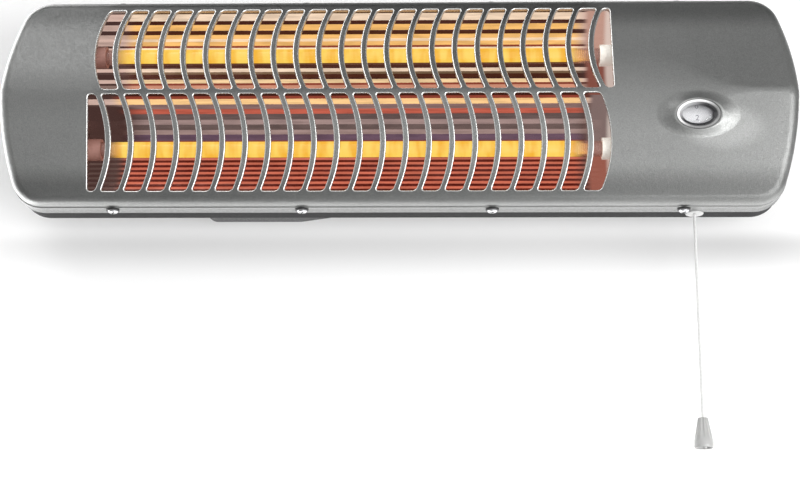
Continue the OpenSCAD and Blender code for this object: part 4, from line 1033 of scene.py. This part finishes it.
# ---------- studio ----------
# A white wall behind the heater and a pale floor far below it, both clear from behind.
# Four broad soft lights stand low at the right, in front, high at the left, and beside the
# heater's left end.

paper, shader, place = finish_called("paper", {"Roughness": 0.9, "Specular IOR Level": 0.0})
tree = paper.node_tree
path = tree.nodes.new("ShaderNodeLightPath")
behind = Wire(tree.nodes.new("ShaderNodeNewGeometry").outputs["Backfacing"])
seen = Wire(path.outputs["Is Camera Ray"])
mirrored = Wire(path.outputs["Is Glossy Ray"])
through = Wire(path.outputs["Is Transmission Ray"])
x, y, z = place.split()

# The wall's own light is painted dimmer where the heater's shadow lies, a painted shadow that
# deepens the real one. Toward the right its paint is darker and its own light brighter, it is
# brighter toward the front, and it shows in mirrors as a pale band below and at the left.
at_left, at_right = x.within(-0.34, -0.25, 7.0, 0.1), x.within(0.34, 0.44)
at_left = at_left * z.within(-1.15, -0.9)
below = z.within(-0.11, -0.06, 2.1, 0.0) * z.within(-1.0, -0.7)
# Painted shadow: the wall's own light is lower just under the heater, most toward the right.
near = x.size().within(0.24, 0.36, 0.21, 0.0) * z.within(-0.109, -0.081)
near = near * z.within(-0.081, -0.068, 1.0, 0.15) * z.within(-0.07, -0.03, 1.0, 0.0)
near = near * x.within(0.1, 0.28, 1.0, 1.7)
ahead = y.within(-0.5, -0.05, 0.4, 0.0)
from_floor = z.within(-1.19, -1.15, 1.0, 0.0) * x.within(0.0, 0.5, 0.0, 2.4)
light = seen * (0.3 - near + at_right * 0.8 + ahead) + through * 0.5
light = light + mirrored * (at_left + below + from_floor)
feed(shader, {"Base Color": at_right.colours((0.66, 0.66, 0.66), (0.12, 0.12, 0.12)),
              "Emission Color": (1.0, 1.0, 1.0), "Emission Strength": light})
clear = behind.node("BsdfTransparent", {}, {})
both_sides = behind.node("MixShader", {}, {0: behind, 1: Wire(shader.outputs[0]), 2: clear})
tree.links.new(both_sides.socket, tree.nodes["Material Output"].inputs["Surface"])
room, floor_z, wall_y, wall_top = 4, -1.2, 0.002, 3
for name, corners in (
        ("studio_wall", ((-room, wall_y, floor_z), (room, wall_y, floor_z),
                         (room, wall_y, wall_top), (-room, wall_y, wall_top))),
        ("studio_floor", ((-room, -room, floor_z), (room, -room, floor_z),
                          (room, wall_y, floor_z), (-room, wall_y, floor_z)))):
    mesh = bpy.data.meshes.new(name)
    mesh.from_pydata(corners, [], [(0, 1, 2, 3)])
    mesh.materials.append(paper)
    in_scene(name, mesh)

world = bpy.data.worlds.new("studio")
bpy.context.scene.world = world
world.use_nodes = True
tree = world.node_tree
seen = Wire(tree.nodes.new("ShaderNodeLightPath").outputs["Is Camera Ray"])
around = Wire(tree.nodes.new("ShaderNodeTexCoord").outputs["Generated"])
sky = around.split()[2].within(0.45, 0.95, 0.4, 0.1)
feed(tree.nodes["Background"], {"Color": (1.0, 1.0, 1.0), "Strength": seen * (1 - sky) + sky})

for name, place_at, aim, width, height, power in (
        ("low_right_light", (1.14, -1.27, -0.58), (0.15, -0.06, 0.0), 1.4, 1.2, 33),
        ("front_light", (0.0, -2.2, 0.4), (0, -0.06, 0.0), 2.4, 1.8, 12),
        ("upper_left_light", (-0.75, -1.2, 1.35), (0, -0.05, 0.0), 1.1, 0.8, 12),
        ("left_light", (-1.5, -0.5, 0.3), (-0.2, -0.06, 0.0), 1.0, 1.4, 5)):
    lamp = bpy.data.lights.new(name, "AREA")
    lamp.shape, lamp.size, lamp.size_y, lamp.energy = "RECTANGLE", width, height, power
    holder = in_scene(name, lamp)
    holder.location = place_at
    holder.rotation_euler = (Vector(aim) - Vector(place_at)).to_track_quat("-Z", "Y").to_euler()

bpy.context.scene.view_settings.view_transform = "Standard"
